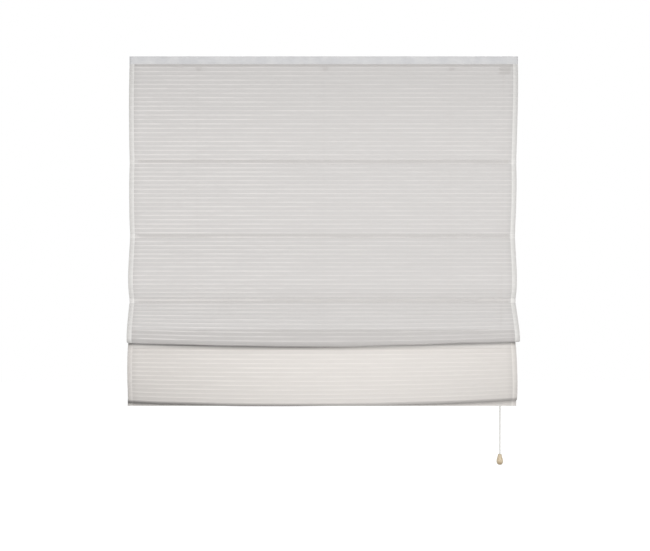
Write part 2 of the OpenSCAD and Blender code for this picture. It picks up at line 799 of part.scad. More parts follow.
lock_bottom = rail_bottom - lock_drop;
module cord_lock() {
    left = pull_x - lock_left;
    right = pull_x + lock_right;
    wing_bottom = lip_top + seat_gap;
    corner_r = 5;
    cord_room = cord_d / 2 + pass_gap;
    color(plastic_colour) difference() {
        union() {
            translate([left, rail_y - wing_half, wing_bottom]) cube([right - left, 2 * wing_half, wing_t]);
            translate([0, rail_y, 0]) along_y(2 * neck_half) {
                span([left, lock_bottom + corner_r], [right, ear_top]);
                span([left + corner_r, lock_bottom], [right - corner_r, lock_bottom + corner_r]);
                for (x = [left + corner_r, right - corner_r])
                    translate([x, lock_bottom + corner_r]) circle(r = corner_r);
            }
        }
        translate([0, rail_y, 0]) along_y(2 * lock_slot_half) {
            translate([lock_wheel_x, wheel_z]) circle(r = wheel_room_r);
            translate([lock_wheel_x, wheel_z]) span([-wheel_room_r, 0], [wheel_room_r, 2 * wheel_room_r]);
            span([pull_x - cord_room, lock_bottom - overrun], [pull_x + cord_room, wheel_z]);
            intersection() {
                translate([pawl_x, pawl_z]) circle(r = pawl_room_r);
                span([pull_x - cord_room, lock_bottom - overrun], [right + overrun, wheel_z]);
            }
        }
        pin_y(lock_wheel_x, wheel_z, pin_hole_d, 4 * wing_half);
        pin_y(pawl_x, pawl_z, pin_hole_d, 4 * wing_half);
    }
}
module lock_pins() {
    color(steel_colour) {
        pin_y(lock_wheel_x, wheel_z, pin_d, 2 * neck_half);
        pin_y(pawl_x, pawl_z, pin_d, 2 * neck_half);
    }
}

// Drum for the three cords between two flanges
module lock_wheel() {
    color(plastic_colour) translate([lock_wheel_x, rail_y, wheel_z]) turned_y() polygon([
        [pin_hole_d / 2, -lock_wheel_w / 2],
        [wheel_d / 2, -lock_wheel_w / 2],
        [wheel_d / 2, -lock_wheel_w / 2 + lock_flange_t],
        [groove_d / 2, -lock_wheel_w / 2 + lock_flange_t],
        [groove_d / 2, lock_wheel_w / 2 - lock_flange_t],
        [wheel_d / 2, lock_wheel_w / 2 - lock_flange_t],
        [wheel_d / 2, lock_wheel_w / 2],
        [pin_hole_d / 2, lock_wheel_w / 2]
    ]);
}

// Pawl: a hub on its pin, a toothed face beside the cords and a heavier tail that tips the face up to them
module lock_pawl() {
    pitch = pawl_length / tooth_count;
    color(steel_colour) translate([pawl_x, rail_y, pawl_z]) along_y(pawl_w) difference() {
        union() {
            circle(r = pawl_r);
            polygon([[0, pawl_r], [0, -pawl_r], [tail_reach, -tail_half], [tail_reach, tail_half]]);
            polygon(concat(
                [[0, pawl_r], [-pawl_face + tooth_depth, -pawl_top + pitch / 2]],
                [
                    for (i = [0:tooth_count - 1])
                        each [
                            [-pawl_face, -pawl_top - i * pitch],
                            [-pawl_face + tooth_depth, -pawl_top - (i + 1) * pitch]
                        ]
                ],
                [[0, -pawl_r]]
            ));
        }
        circle(d = pin_hole_d);
    }
}

// Brackets and clips

bracket_x = [-bracket_gap / 2, bracket_gap / 2];

// Folded steel: a wall plate with two screw holes, a bend and a round-ended leg over the rail
bend_r = 1;
plate_corner_r = 3;
module bracket(x) {
    outer_r = bend_r + bracket_t;
    bend_z = leg_top - outer_r;
    plate_bottom = leg_top - plate_h;
    color(rail_colour) translate([x, 0, 0]) difference() {
        union() {
            translate([0, -bracket_t / 2, 0]) along_y(bracket_t) {
                round_span([-bracket_w / 2, plate_bottom], [bracket_w / 2, bend_z], plate_corner_r);
                span([-bracket_w / 2, bend_z - plate_corner_r], [bracket_w / 2, bend_z]);
            }
            along_x(bracket_w) intersection() {
                translate([-outer_r, bend_z]) difference() {
                    circle(r = outer_r);
                    circle(r = bend_r);
                }
                span([-outer_r, bend_z], [0, leg_top]);
            }
            translate([0, 0, leg_bottom]) linear_extrude(bracket_t) {
                span([-bracket_w / 2, rail_y], [bracket_w / 2, -outer_r]);
                intersection() {
                    translate([0, rail_y]) circle(d = bracket_w);
                    span([-bracket_w / 2, rail_front], [bracket_w / 2, rail_y]);
                }
            }
        }
        for (s = [-1, 1]) translate([0, 0, s * screw_gap / 2])
            rotate([90, 0, 0]) cylinder(d = screw_hole_d, h = 4 * bracket_t, center = true);
        translate([0, rail_y, leg_bottom - overrun])
            cylinder(d = rivet_d + 2 * run_gap, h = bracket_t + 2 * overrun);
    }
}
module bracket_left() { bracket(bracket_x[0]); }
module bracket_right() { bracket(bracket_x[1]); }

// Clip: a lever above the rail, a neck through the top slot and a cam that hooks under both lips
module swivel_clip(x) {
    color(plastic_colour) translate([x, rail_y, 0]) difference() {
        union() {
            translate([0, 0, clip_bottom]) linear_extrude(clip_t) difference() {
                union() {
                    circle(d = lever_eye_d);
                    span([0, -lever_w / 2], [lever_reach - lever_w / 2, lever_w / 2]);
                    translate([lever_reach - lever_w / 2, 0]) circle(d = lever_w);
                }
                translate([lever_reach - lever_w / 2, 0]) circle(d = lever_hole_d);
            }
            translate([0, 0, cam_bottom + cam_t / 2]) cylinder(d = neck_d, h = clip_bottom - cam_bottom);
            translate([0, 0, cam_bottom]) linear_extrude(cam_t) intersection() {
                circle(d = cam_length);
                square([cam_w, cam_length], center = true);
            }
        }
        translate([0, 0, cam_bottom - overrun])
            cylinder(d = rivet_d + 2 * run_gap, h = clip_top - cam_bottom + 2 * overrun);
    }
}
module swivel_clip_left() { swivel_clip(bracket_x[0]); }
module swivel_clip_right() { swivel_clip(bracket_x[1]); }

module clip_rivets() {
    color(steel_colour) for (x = bracket_x) translate([x, rail_y, 0]) {
        translate([0, 0, leg_top + seat_gap]) cylinder(d = rivet_head_d, h = rivet_head_t - seat_gap);
        translate([0, 0, cam_bottom - rivet_tail_t])
            cylinder(d = rivet_d, h = leg_top + rivet_head_t - cam_bottom + rivet_tail_t);
        translate([0, 0, cam_bottom - rivet_tail_t]) cylinder(d = rivet_tail_d, h = rivet_tail_t - seat_gap);
    }
}

headrail();
end_cap_left();
end_cap_right();
hook_tape();
loop_tape();
heading_band();
cloth();
pocket_tape_1();
pocket_tape_2();
pocket_tape_3();
pocket_tape_4();
pocket_tape_5();
rod_1();
rod_2();
rod_3();
rod_4();
rod_5();
bottom_bar();
rings_1();
rings_2();
rings_3();
rings_4();
rings_5();
rings_bottom();
lift_cord_left();
lift_cord_centre();
lift_cord_right();
ring_knots();
acorn();
acorn_knot();
guide_left();
guide_centre();
guide_right();
guide_axles();
guide_wheel_left();
guide_wheel_centre();
guide_wheel_right();
cord_lock();
lock_pins();
lock_wheel();
lock_pawl();
bracket_left();
bracket_right();
swivel_clip_left();
swivel_clip_right();
clip_rivets();
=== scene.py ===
# %% [markdown]
# A sheer roman blind, cell by cell.
#
# The real blind is one long sheet of ribbed voile. Thin rods lie in tapes sewn to its back, and cords
# lift it into folds. A CAD model already holds the headrail, brackets, wheels and rods. They could be
# modelled again here, but parts with exact sizes are best left alone, so this file loads that model and
# dresses it: the cloth, the band, the cords and the acorn become fine surfaces, and every part gets a
# finish.

# %% Load the frame
import json
import math

import bpy
import numpy as np
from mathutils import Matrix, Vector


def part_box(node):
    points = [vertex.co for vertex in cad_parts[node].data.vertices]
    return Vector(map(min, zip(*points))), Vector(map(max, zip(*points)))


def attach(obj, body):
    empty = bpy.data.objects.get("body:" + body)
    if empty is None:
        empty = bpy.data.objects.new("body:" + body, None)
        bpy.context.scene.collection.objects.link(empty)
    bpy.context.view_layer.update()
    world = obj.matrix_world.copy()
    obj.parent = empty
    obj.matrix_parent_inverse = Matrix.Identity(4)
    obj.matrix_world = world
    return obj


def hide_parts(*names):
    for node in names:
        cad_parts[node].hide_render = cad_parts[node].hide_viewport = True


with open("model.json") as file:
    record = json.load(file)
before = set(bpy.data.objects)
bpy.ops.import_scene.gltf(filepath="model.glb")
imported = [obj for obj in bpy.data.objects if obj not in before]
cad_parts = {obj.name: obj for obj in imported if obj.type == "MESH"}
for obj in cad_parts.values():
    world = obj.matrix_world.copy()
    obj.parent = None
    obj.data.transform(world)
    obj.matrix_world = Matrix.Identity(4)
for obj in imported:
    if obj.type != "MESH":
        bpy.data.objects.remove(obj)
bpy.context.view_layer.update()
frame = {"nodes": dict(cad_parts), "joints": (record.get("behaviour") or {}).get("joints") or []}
nodes = frame["nodes"]
mm = 0.001
body = "blind"


# %% [markdown]
# The camera looks straight at the blind from a little below its middle. It could be aimed with a
# constraint, but a level camera needs only one turn. A long view keeps the rails parallel, and the nearer
# folds still look a touch wider than the heading. The focal length is worked out in pixels first, because
# a width in the picture is then just focal length times real width over distance.

# %% Camera
image_width = 650
sensor_width_mm = 36.0
focal_pixels = 906.5
view_distance = 2.8
camera_right = 3.9 * mm
camera_drop = 0.677
clip_near = 0.05
band_low, band_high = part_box("heading_band")

lens = bpy.data.cameras.new("camera")
lens.sensor_width = sensor_width_mm
lens.lens = focal_pixels * sensor_width_mm / image_width
lens.clip_start = clip_near
camera = bpy.data.objects.new("camera", lens)
camera.location = (camera_right, band_low.y - view_distance, band_high.z - camera_drop)
camera.rotation_euler = (math.radians(90), 0, 0)
bpy.context.scene.collection.objects.link(camera)
bpy.context.scene.camera = camera
bpy.context.scene.view_settings.view_transform = "Standard"
print("camera:", round(lens.lens, 1), "mm lens at", [round(c, 3) for c in camera.location])


# %% [markdown]
# A finish is a tree of nodes. It could be drawn by hand in the Shader Editor, but a tree that is written
# in words can be read, copied and changed. Each helper here makes one kind of node. A value that is a
# socket is linked, and a plain number is typed into the socket.

# %% Node helpers
# A Mix node has sockets for every kind of data, and those for colours come at these places
mix_colour_inputs = (6, 7)
mix_colour_output = 2


def add_node(tree, kind, **settings):
    """A new node of this kind with its properties set."""
    node = tree.nodes.new(kind)
    for name, value in settings.items():
        setattr(node, name, value)
    return node


def feed(tree, socket, value):
    """Links an output to the socket, or types a plain value into it."""
    if isinstance(value, bpy.types.NodeSocket):
        tree.links.new(value, socket)
    else:
        socket.default_value = value


def calc(tree, operation, *values):
    """The result of one Math node on sockets or numbers."""
    node = add_node(tree, "ShaderNodeMath", operation=operation)
    for socket, value in zip(node.inputs, values):
        feed(tree, socket, value)
    return node.outputs[0]


def ramp(tree, value, low, high, start=0.0, end=1.0):
    """A smooth step from start to end while the value goes from low to high."""
    node = add_node(tree, "ShaderNodeMapRange", interpolation_type="SMOOTHSTEP")
    for socket, number in zip(node.inputs, (value, low, high, start, end)):
        feed(tree, socket, number)
    return node.outputs[0]


def blend_colours(tree, factor, first, second):
    """The colour between two others at the factor."""
    node = add_node(tree, "ShaderNodeMix", data_type="RGBA")
    feed(tree, node.inputs["Factor"], factor)
    for place, colour in zip(mix_colour_inputs, (first, second)):
        feed(tree, node.inputs[place], colour)
    return node.outputs[mix_colour_output]


def noise(tree, vector, scale, detail=2.0):
    """Smooth noise from 0 to 1 on the vector."""
    node = add_node(tree, "ShaderNodeTexNoise")
    for name, value in (("Vector", vector), ("Scale", scale), ("Detail", detail)):
        feed(tree, node.inputs[name], value)
    return node.outputs[0]


print("node helpers ready")


# %% [markdown]
# Every finish needs a place on the surface and a Principled shader. Places could come from an unwrapped
# UV map, but every piece sits at the origin, so Object coordinates give real metres for nothing. Where a
# pattern has to follow a bent surface, as on cloth and cord, the mesh carries the place in an attribute
# of its own.

# %% Places and materials
def rgba(colour):
    """A colour with full alpha."""
    return (*colour, 1.0)


def vector_of(tree, x, y, z):
    """A vector from three sockets or numbers."""
    node = add_node(tree, "ShaderNodeCombineXYZ")
    for socket, value in zip(node.inputs, (x, y, z)):
        feed(tree, socket, value)
    return node.outputs[0]


def parts_of(tree, vector):
    """The three numbers of a vector."""
    node = add_node(tree, "ShaderNodeSeparateXYZ")
    feed(tree, node.inputs[0], vector)
    return node.outputs[0], node.outputs[1], node.outputs[2]


def object_place(tree):
    """Object coordinates, in metres."""
    return add_node(tree, "ShaderNodeTexCoord").outputs["Object"]


def squeezed_place(tree, squeeze):
    """Object coordinates times a number for each direction, so that noise on them is drawn out."""
    mapping = add_node(tree, "ShaderNodeMapping")
    mapping.inputs["Scale"].default_value = squeeze
    feed(tree, mapping.inputs["Vector"], object_place(tree))
    return mapping.outputs[0]


def attribute(tree, name, output):
    """The value of an attribute of the mesh."""
    return add_node(tree, "ShaderNodeAttribute", attribute_name=name).outputs[output]


def bump(tree, shader, height, strength, distance):
    """Feeds a height to the shader's normal through a Bump node."""
    node = add_node(tree, "ShaderNodeBump")
    node.inputs["Strength"].default_value = strength
    node.inputs["Distance"].default_value = distance
    feed(tree, node.inputs["Height"], height)
    feed(tree, shader.inputs["Normal"], node.outputs[0])


def new_finish(name, roughness, sheen=0.0, coat=0.0):
    """A material with its Principled shader, roughness, sheen and coat set."""
    material = bpy.data.materials.new(name)
    material.use_nodes = True
    shader = material.node_tree.nodes["Principled BSDF"]
    shader.inputs["Roughness"].default_value = roughness
    shader.inputs["Sheen Weight"].default_value = sheen
    shader.inputs["Coat Weight"].default_value = coat
    return material, material.node_tree, shader


print("place and material helpers ready")


# %% [markdown]
# In a plain weave, threads pass over and under each other. A picture of cloth could show that, but a
# formula stays sharp at any distance: each thread is one arch of a sine wave, and a chessboard says which
# thread is on top. Several finishes use it, so it is a node group, built once and placed where it is
# needed.

# %% Weave group
number_kind = "NodeSocketFloat"
vector_kind = "NodeSocketVector"
colour_kind = "NodeSocketColor"


def new_group(name, inputs, outputs):
    """A shader node group with these sockets, and the sockets to read from and to feed inside it."""
    group = bpy.data.node_groups.new(name, "ShaderNodeTree")
    for title, kind in inputs.items():
        group.interface.new_socket(title, in_out="INPUT", socket_type=kind)
    for title, kind in outputs.items():
        group.interface.new_socket(title, in_out="OUTPUT", socket_type=kind)
    return group, group.nodes.new("NodeGroupInput").outputs, group.nodes.new("NodeGroupOutput").inputs


def use_group(tree, group, **values):
    """The outputs of a placed group, by name, with its inputs fed."""
    node = add_node(tree, "ShaderNodeGroup", node_tree=group)
    for name, value in values.items():
        feed(tree, node.inputs[name], value)
    return node.outputs


def thread_wave(tree, place):
    """The absolute value of sin(pi place): one round thread in each unit of place."""
    return calc(tree, "ABSOLUTE", calc(tree, "SINE", calc(tree, "MULTIPLY", place, math.pi)))


weave_group, given, result = new_group(
    "thread weave", {"Across": number_kind, "Along": number_kind, "Pitch": number_kind},
    {"Height": number_kind, "Gap": number_kind})
warp_place = calc(weave_group, "DIVIDE", given["Across"], given["Pitch"])
weft_place = calc(weave_group, "DIVIDE", given["Along"], given["Pitch"])
warp, weft = thread_wave(weave_group, warp_place), thread_wave(weave_group, weft_place)
warp_count = calc(weave_group, "FLOOR", warp_place)
weft_count = calc(weave_group, "FLOOR", weft_place)
square = calc(weave_group, "ADD", warp_count, weft_count)
over = calc(weave_group, "PINGPONG", square, 1.0)
warp_height = calc(weave_group, "MULTIPLY", warp, over)
weft_height = calc(weave_group, "MULTIPLY", weft, calc(weave_group, "SUBTRACT", 1.0, over))
warp_gap = calc(weave_group, "SUBTRACT", 1.0, warp)
weft_gap = calc(weave_group, "SUBTRACT", 1.0, weft)
feed(weave_group, result["Height"], calc(weave_group, "ADD", warp_height, weft_height))
feed(weave_group, result["Gap"], calc(weave_group, "MULTIPLY", warp_gap, weft_gap))
print("group:", weave_group.name)


# %% [markdown]
# A spun thread is thicker in some places than in others, which weavers call slub, and cloth, plastic and
# paint are never quite one colour. Both could be painted by hand, but noise does it for any length. Slub
# reads the noise along a thread, in another row for every thread, and mottle turns soft clouds of it into
# two near colours.

# %% Slub and mottle groups
cloud_low = 0.3
cloud_high = 0.7
slub_detail = 3.0
thread_step = 7.31
mottle_detail = 4.0

slub_group, given, result = new_group(
    "slub", {"Along": number_kind, "Thread": number_kind, "Stretch": number_kind}, {"Value": number_kind})
slub_along = calc(slub_group, "MULTIPLY", given["Along"], given["Stretch"])
slub_row = calc(slub_group, "MULTIPLY", given["Thread"], thread_step)
slub_noise = noise(slub_group, vector_of(slub_group, slub_along, slub_row, 0.0), 1.0, slub_detail)
feed(slub_group, result["Value"], ramp(slub_group, slub_noise, cloud_low, cloud_high))

mottle_group, given, result = new_group(
    "mottle", {"Vector": vector_kind, "Scale": number_kind, "Dark": colour_kind, "Light": colour_kind},
    {"Colour": colour_kind, "Value": number_kind})
cloud_noise = noise(mottle_group, given["Vector"], given["Scale"], mottle_detail)
cloud = ramp(mottle_group, cloud_noise, cloud_low, cloud_high)
feed(mottle_group, result["Colour"], blend_colours(mottle_group, cloud, given["Dark"], given["Light"]))
feed(mottle_group, result["Value"], cloud)
print("groups:", slub_group.name, "and", mottle_group.name)


# %% [markdown]
# A braided cord has strands that lie to the right and to the left. They could be modelled one by one, but
# the cord is thinner than two millimetres, so a height pattern is enough: two sets of diagonal ridges
# round the cord, and the higher of the two at each place.

# %% Braid group
braid_group, given, result = new_group(
    "braid", {"Around": number_kind, "Along": number_kind, "Pitch": number_kind, "Strands": number_kind},
    {"Height": number_kind})
braid_round = calc(braid_group, "MULTIPLY", given["Around"], given["Strands"])
braid_along = calc(braid_group, "DIVIDE", given["Along"], given["Pitch"])
right_lay = calc(braid_group, "PINGPONG", calc(braid_group, "ADD", braid_round, braid_along), 0.5)
left_lay = calc(braid_group, "PINGPONG", calc(braid_group, "SUBTRACT", braid_round, braid_along), 0.5)
ridge = calc(braid_group, "MAXIMUM", right_lay, left_lay)
feed(braid_group, result["Height"], calc(braid_group, "MULTIPLY", 2.0, ridge))
print("group:", braid_group.name)


# %% [markdown]
# About every 13 mm a band of thicker threads makes a rib across the voile, and finer threads lie between.
# Even stripes would do from far away, but real ribs come and go, so each one takes its own slub. The ribs
# stand out most on the left and are drawn towards their mean on the right, which is painted light: the
# ribs catch more light on the left. The sheet's weave attribute gives the place across, the count of ribs
# and the place along, so the ribs follow every fold.

# %% Rib pattern
half_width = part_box("cloth")[1].x
rib_edge_shares = (0.29, 0.42)
rib_stretch = 6.0
slub_low_share = 0.5
fine_lines = 3.0
fine_edge_shares = (0.25, 0.5)
fine_stretch = 19.0
fine_share = 0.35
# Painted light: the ribs' contrast fades towards the right
rib_light_fade_shares = (-0.8, 0.15)
rib_right_light_share = 0.45
rib_mean = 0.25


def slub(tree, across, count, stretch):
    """The thickness of the thread with this count, along its length."""
    thread = calc(tree, "FLOOR", count)
    return use_group(tree, slub_group, Along=across, Thread=thread, Stretch=stretch)["Value"]


def rib_pattern(tree, across, ribs):
    """1 on a rib, less where its thread is thin, and a fainter pattern of finer lines between."""
    rib = ramp(tree, calc(tree, "PINGPONG", ribs, 0.5), *rib_edge_shares)
    thick = ramp(tree, slub(tree, across, ribs, rib_stretch), 0.0, 1.0, slub_low_share, 1.0)
    fine_count = calc(tree, "MULTIPLY", ribs, fine_lines)
    fine = ramp(tree, calc(tree, "PINGPONG", fine_count, 0.5), *fine_edge_shares)
    fine = calc(tree, "MULTIPLY", fine, slub(tree, across, fine_count, fine_stretch))
    rib = calc(tree, "MULTIPLY", rib, thick)
    return calc(tree, "MAXIMUM", rib, calc(tree, "MULTIPLY", fine, fine_share))


def fade_ribs(tree, light, across):
    """Painted light: the pattern times a share falling to the right, plus what the share takes from its
    mean.
    """
    fade = [half_width * share for share in rib_light_fade_shares]
    kept = calc(tree, "MULTIPLY", light, ramp(tree, across, *fade, 1.0, rib_right_light_share))
    return calc(tree, "ADD", kept, ramp(tree, across, *fade, 0.0, rib_mean * (1 - rib_right_light_share)))


print("ribs: contrast falls to", rib_right_light_share, "on the right")


# %% [markdown]
# Each side of the cloth is turned under and stitched, so a strip of 15 mm is double and looks lighter,
# above all at its inner edge. Across the strip the gain is painted light and shade: darker at the turned
# outer edge and lightest at the inner edge, with painted shade in a soft crease beside it. The strip could
# have a material of its own, but the ribs would then stop at a hard line. A gain that depends on the
# distance from the side keeps one finish for the whole sheet.

# %% Side hems
side_hem = 15 * mm
# Hem gains: the double cloth, with painted shade at the outer edge and painted light at the inner edge
hem_gain = 1.34
hem_outer_shade_gain = 1.06
layered_hem_share = 0.8
# Painted shade in a crease beside each hem
crease_shade_gain = 0.93
crease_shade_width = 20 * mm


def hem_light(tree, edge, hem, layers):
    """Gain near the side: a hem painted from shade outside to light inside, and painted shade in a crease
    beside it.
    """
    on_hem = ramp(tree, edge, 0.0, side_hem, hem_outer_shade_gain, hem_gain)
    on_hem = calc(tree, "MULTIPLY", on_hem, ramp(tree, layers, 0.0, 1.0, 1.0, layered_hem_share))
    beside = ramp(tree, edge, side_hem, side_hem + crease_shade_width, crease_shade_gain, 1.0)
    return calc(tree, "ADD", calc(tree, "MULTIPLY", hem, on_hem),
                calc(tree, "MULTIPLY", calc(tree, "SUBTRACT", 1.0, hem), beside))


print("side hems:", round(side_hem / mm), "mm wide")


# %% [markdown]
# The voile is the finish that makes the blind: a sheer plain weave whose ribs are lighter and hide more
# of what is behind. Transmission could make it see-through, but that is for glass, and cloth is threads
# with holes between. So the finish is opaque thread with an alpha a little below one. Two more attributes
# guide it: layers says where the cloth hangs in front of more cloth, which is denser and warmer and gets
# painted light, and shade carries painted shade and light: where the rail and the folds keep the light
# out, over the tapes and at the top of the last pleat.

# %% Sheer voile
single_colour = rgba((0.595, 0.575, 0.562))
# Cloth in front of more cloth: denser and warmer, and lighter as painted light
layered_colour = rgba((0.762, 0.728, 0.697))
hem_colour = rgba((0.60, 0.59, 0.575))
voile_roughness = 0.85
voile_sheen = 0.1
rib_gain = 1.25
layered_rib_gain = 1.085
hem_edge = 0.5 * mm
hem_rib_share = 0.3
ground_alpha = 0.9
rib_alpha = 0.97
hem_alpha = 0.96
gap_share = 0.1
voile_pitch = 0.8 * mm
voile_bump_strength = 0.25
voile_bump_depth = 0.15 * mm


def make_voile():
    """Voile: a ground by the number of layers, times ribs, side hems and the painted light and shade."""
    material, tree, shader = new_finish("sheer_voile", roughness=voile_roughness, sheen=voile_sheen)
    across, ribs, along = parts_of(tree, attribute(tree, "weave", "Vector"))
    layers = attribute(tree, "layers", "Fac")
    edge = calc(tree, "SUBTRACT", half_width, calc(tree, "ABSOLUTE", across))
    hem = ramp(tree, edge, side_hem - hem_edge, side_hem + hem_edge, 1.0, 0.0)
    rib_strength = ramp(tree, hem, 0.0, 1.0, 1.0, hem_rib_share)
    light = calc(tree, "MULTIPLY", rib_pattern(tree, across, ribs), rib_strength)
    light = fade_ribs(tree, light, across)
    gain = ramp(tree, light, 0.0, 1.0, 1.0, ramp(tree, layers, 0.0, 1.0, rib_gain, layered_rib_gain))
    gain = calc(tree, "MULTIPLY", gain, hem_light(tree, edge, hem, layers))
    gain = calc(tree, "MULTIPLY", gain, attribute(tree, "shade", "Fac"))
    ground = blend_colours(tree, hem, single_colour, hem_colour)
    scaled = add_node(tree, "ShaderNodeVectorMath", operation="SCALE")
    feed(tree, scaled.inputs[0], blend_colours(tree, layers, ground, layered_colour))
    feed(tree, scaled.inputs["Scale"], gain)
    threads = use_group(tree, weave_group, Across=across, Along=along, Pitch=voile_pitch)
    hidden = ramp(tree, light, 0.0, 1.0, ground_alpha, rib_alpha)
    hidden = calc(tree, "MAXIMUM", hidden, calc(tree, "MULTIPLY", hem, hem_alpha))
    alpha = calc(tree, "SUBTRACT", hidden, calc(tree, "MULTIPLY", threads["Gap"], gap_share))
    feed(tree, shader.inputs["Base Color"], scaled.outputs[0])
    feed(tree, shader.inputs["Alpha"], alpha)
    bump(tree, shader, threads["Height"], voile_bump_strength, voile_bump_depth)
    return material


voile = make_voile()
print("voile: alpha", ground_alpha, "to", rib_alpha)


# %% [markdown]
# The heading band, the rod tapes, the loop tape and the sewing thread are close, opaque weaves. Each
# could be a finish by itself, but they differ only in colour and in the size of a thread, so one function
# makes all four. It reads the place on the piece in metres, which gives the threads a real size.

# %% Band, tape and thread finishes
weave_roughness = 0.9
weave_sheen = 0.2
# Share of painted shade in the gaps between threads
weave_gap_shade_share = 0.35
weave_bump_strength = 0.4
weave_bump_depth = 0.2 * mm


def make_close_weave(name, dark, light, pitch, cloud_scale):
    """Opaque plain weave: clouds of two near colours, painted shade in the gaps, and threads as bump."""
    material, tree, shader = new_finish(name, roughness=weave_roughness, sheen=weave_sheen)
    place = object_place(tree)
    across, up = parts_of(tree, place)[::2]
    clouds = use_group(
        tree, mottle_group, Vector=place, Scale=cloud_scale, Dark=rgba(dark), Light=rgba(light))
    threads = use_group(tree, weave_group, Across=across, Along=up, Pitch=pitch)
    # Painted shade in the gaps between threads
    between = calc(tree, "MULTIPLY", threads["Gap"], weave_gap_shade_share)
    feed(tree, shader.inputs["Base Color"], blend_colours(tree, between, clouds["Colour"], rgba(dark)))
    bump(tree, shader, threads["Height"], weave_bump_strength, weave_bump_depth)
    return material


band_weave = make_close_weave(
    "band_weave", dark=(0.61, 0.61, 0.622), light=(0.67, 0.668, 0.672), pitch=1.1 * mm, cloud_scale=30.0)
tape_weave = make_close_weave(
    "tape_weave", dark=(0.68, 0.67, 0.645), light=(0.78, 0.77, 0.745), pitch=0.7 * mm, cloud_scale=60.0)
loop_pile = make_close_weave(
    "loop_pile", dark=(0.66, 0.66, 0.66), light=(0.80, 0.80, 0.79), pitch=0.5 * mm, cloud_scale=120.0)
thread_weave = make_close_weave(
    "sewing_thread", dark=(0.74, 0.73, 0.70), light=(0.84, 0.83, 0.80), pitch=0.4 * mm, cloud_scale=200.0)
print("close weaves:", band_weave.name, tape_weave.name, loop_pile.name, thread_weave.name)


# %% [markdown]
# The fittings are moulded plastic, the rail is powder coated and the brackets are enamelled. A plain
# colour would do for each, but such skins look like paper without some unevenness. They share one recipe:
# two near colours in soft clouds, a roughness that follows the clouds, and a fine bump for the grain that
# moulding or paint leaves.

# %% Plastic and paint finishes
skin_cloud_scale = 90.0
skin_roughness_range = 0.06
skin_bump_strength = 0.15


def uneven(tree, value, middle, half_range):
    """A roughness that follows a value from middle - half_range to middle + half_range."""
    return ramp(tree, value, 0.0, 1.0, middle - half_range, middle + half_range)


def make_moulded(name, dark, light, roughness, grain, grain_depth, coat=0.0):
    """Painted or moulded skin: mottled colour, mottled roughness and a fine grain."""
    material, tree, shader = new_finish(name, roughness=roughness, coat=coat)
    place = object_place(tree)
    clouds = use_group(
        tree, mottle_group, Vector=place, Scale=skin_cloud_scale, Dark=rgba(dark), Light=rgba(light))
    feed(tree, shader.inputs["Base Color"], clouds["Colour"])
    feed(tree, shader.inputs["Roughness"], uneven(tree, clouds["Value"], roughness, skin_roughness_range))
    bump(tree, shader, noise(tree, place, grain), skin_bump_strength, grain_depth)
    return material


white_plastic = make_moulded(
    "white_plastic", dark=(0.74, 0.73, 0.70), light=(0.80, 0.79, 0.76),
    roughness=0.42, grain=1500.0, grain_depth=0.05 * mm)
rod_plastic = make_moulded(
    "rod_plastic", dark=(0.78, 0.78, 0.77), light=(0.84, 0.84, 0.83),
    roughness=0.3, grain=900.0, grain_depth=0.03 * mm, coat=0.2)
rail_coat = make_moulded(
    "rail_coat", dark=(0.72, 0.72, 0.71), light=(0.77, 0.77, 0.76),
    roughness=0.45, grain=1100.0, grain_depth=0.06 * mm)
enamel = make_moulded(
    "bracket_enamel", dark=(0.74, 0.74, 0.73), light=(0.80, 0.80, 0.79),
    roughness=0.3, grain=500.0, grain_depth=0.04 * mm, coat=0.4)
print("skins:", white_plastic.name, rod_plastic.name, rail_coat.name, enamel.name)


# %% [markdown]
# Pins, rivets and the pawl are zinc plated, and the bottom bar is drawn alloy. An anisotropic shader
# could stretch their highlights, but on parts this small it is enough to squeeze the noise across the
# brushing, so that colour and roughness run in streaks.

# %% Metal finishes
metal_cloud_scale = 60.0
metal_roughness_range = 0.08
metal_bump_strength = 0.1
metal_bump_depth = 0.05 * mm


def make_metal(name, dark, light, roughness, squeeze):
    """Bare metal: noise squeezed across the brushing drives colour and roughness."""
    material, tree, shader = new_finish(name, roughness=roughness)
    shader.inputs["Metallic"].default_value = 1.0
    brushed = use_group(tree, mottle_group, Vector=squeezed_place(tree, squeeze), Scale=metal_cloud_scale,
                        Dark=rgba(dark), Light=rgba(light))
    feed(tree, shader.inputs["Base Color"], brushed["Colour"])
    feed(tree, shader.inputs["Roughness"], uneven(tree, brushed["Value"], roughness, metal_roughness_range))
    bump(tree, shader, brushed["Value"], metal_bump_strength, metal_bump_depth)
    return material


zinc = make_metal(
    "zinc_plate", dark=(0.60, 0.61, 0.62), light=(0.72, 0.73, 0.74),
    roughness=0.35, squeeze=(1.0, 6.0, 6.0))
bar_alloy = make_metal(
    "bar_alloy", dark=(0.62, 0.63, 0.64), light=(0.72, 0.73, 0.74),
    roughness=0.4, squeeze=(0.3, 20.0, 20.0))
print("metals:", zinc.name, bar_alloy.name)


# %% [markdown]
# The cord is braided from fine white yarn. A bump alone would leave it flat in soft light, so the finish
# also paints shade in the lines between strands. The cord's weave attribute gives the place round it and
# along it, and the braid keeps its size on every cord.

# %% Cord finish
braid_roughness = 0.75
braid_sheen = 0.2
braid_pitch = 3.2 * mm
braid_strands = 4.0
braid_edge_shares = (0.35, 0.9)
# Painted shade in the lines between strands
braid_shade_colour = rgba((0.55, 0.54, 0.505))
braid_light = rgba((0.79, 0.785, 0.75))
braid_bump_strength = 0.6
braid_bump_depth = 0.25 * mm


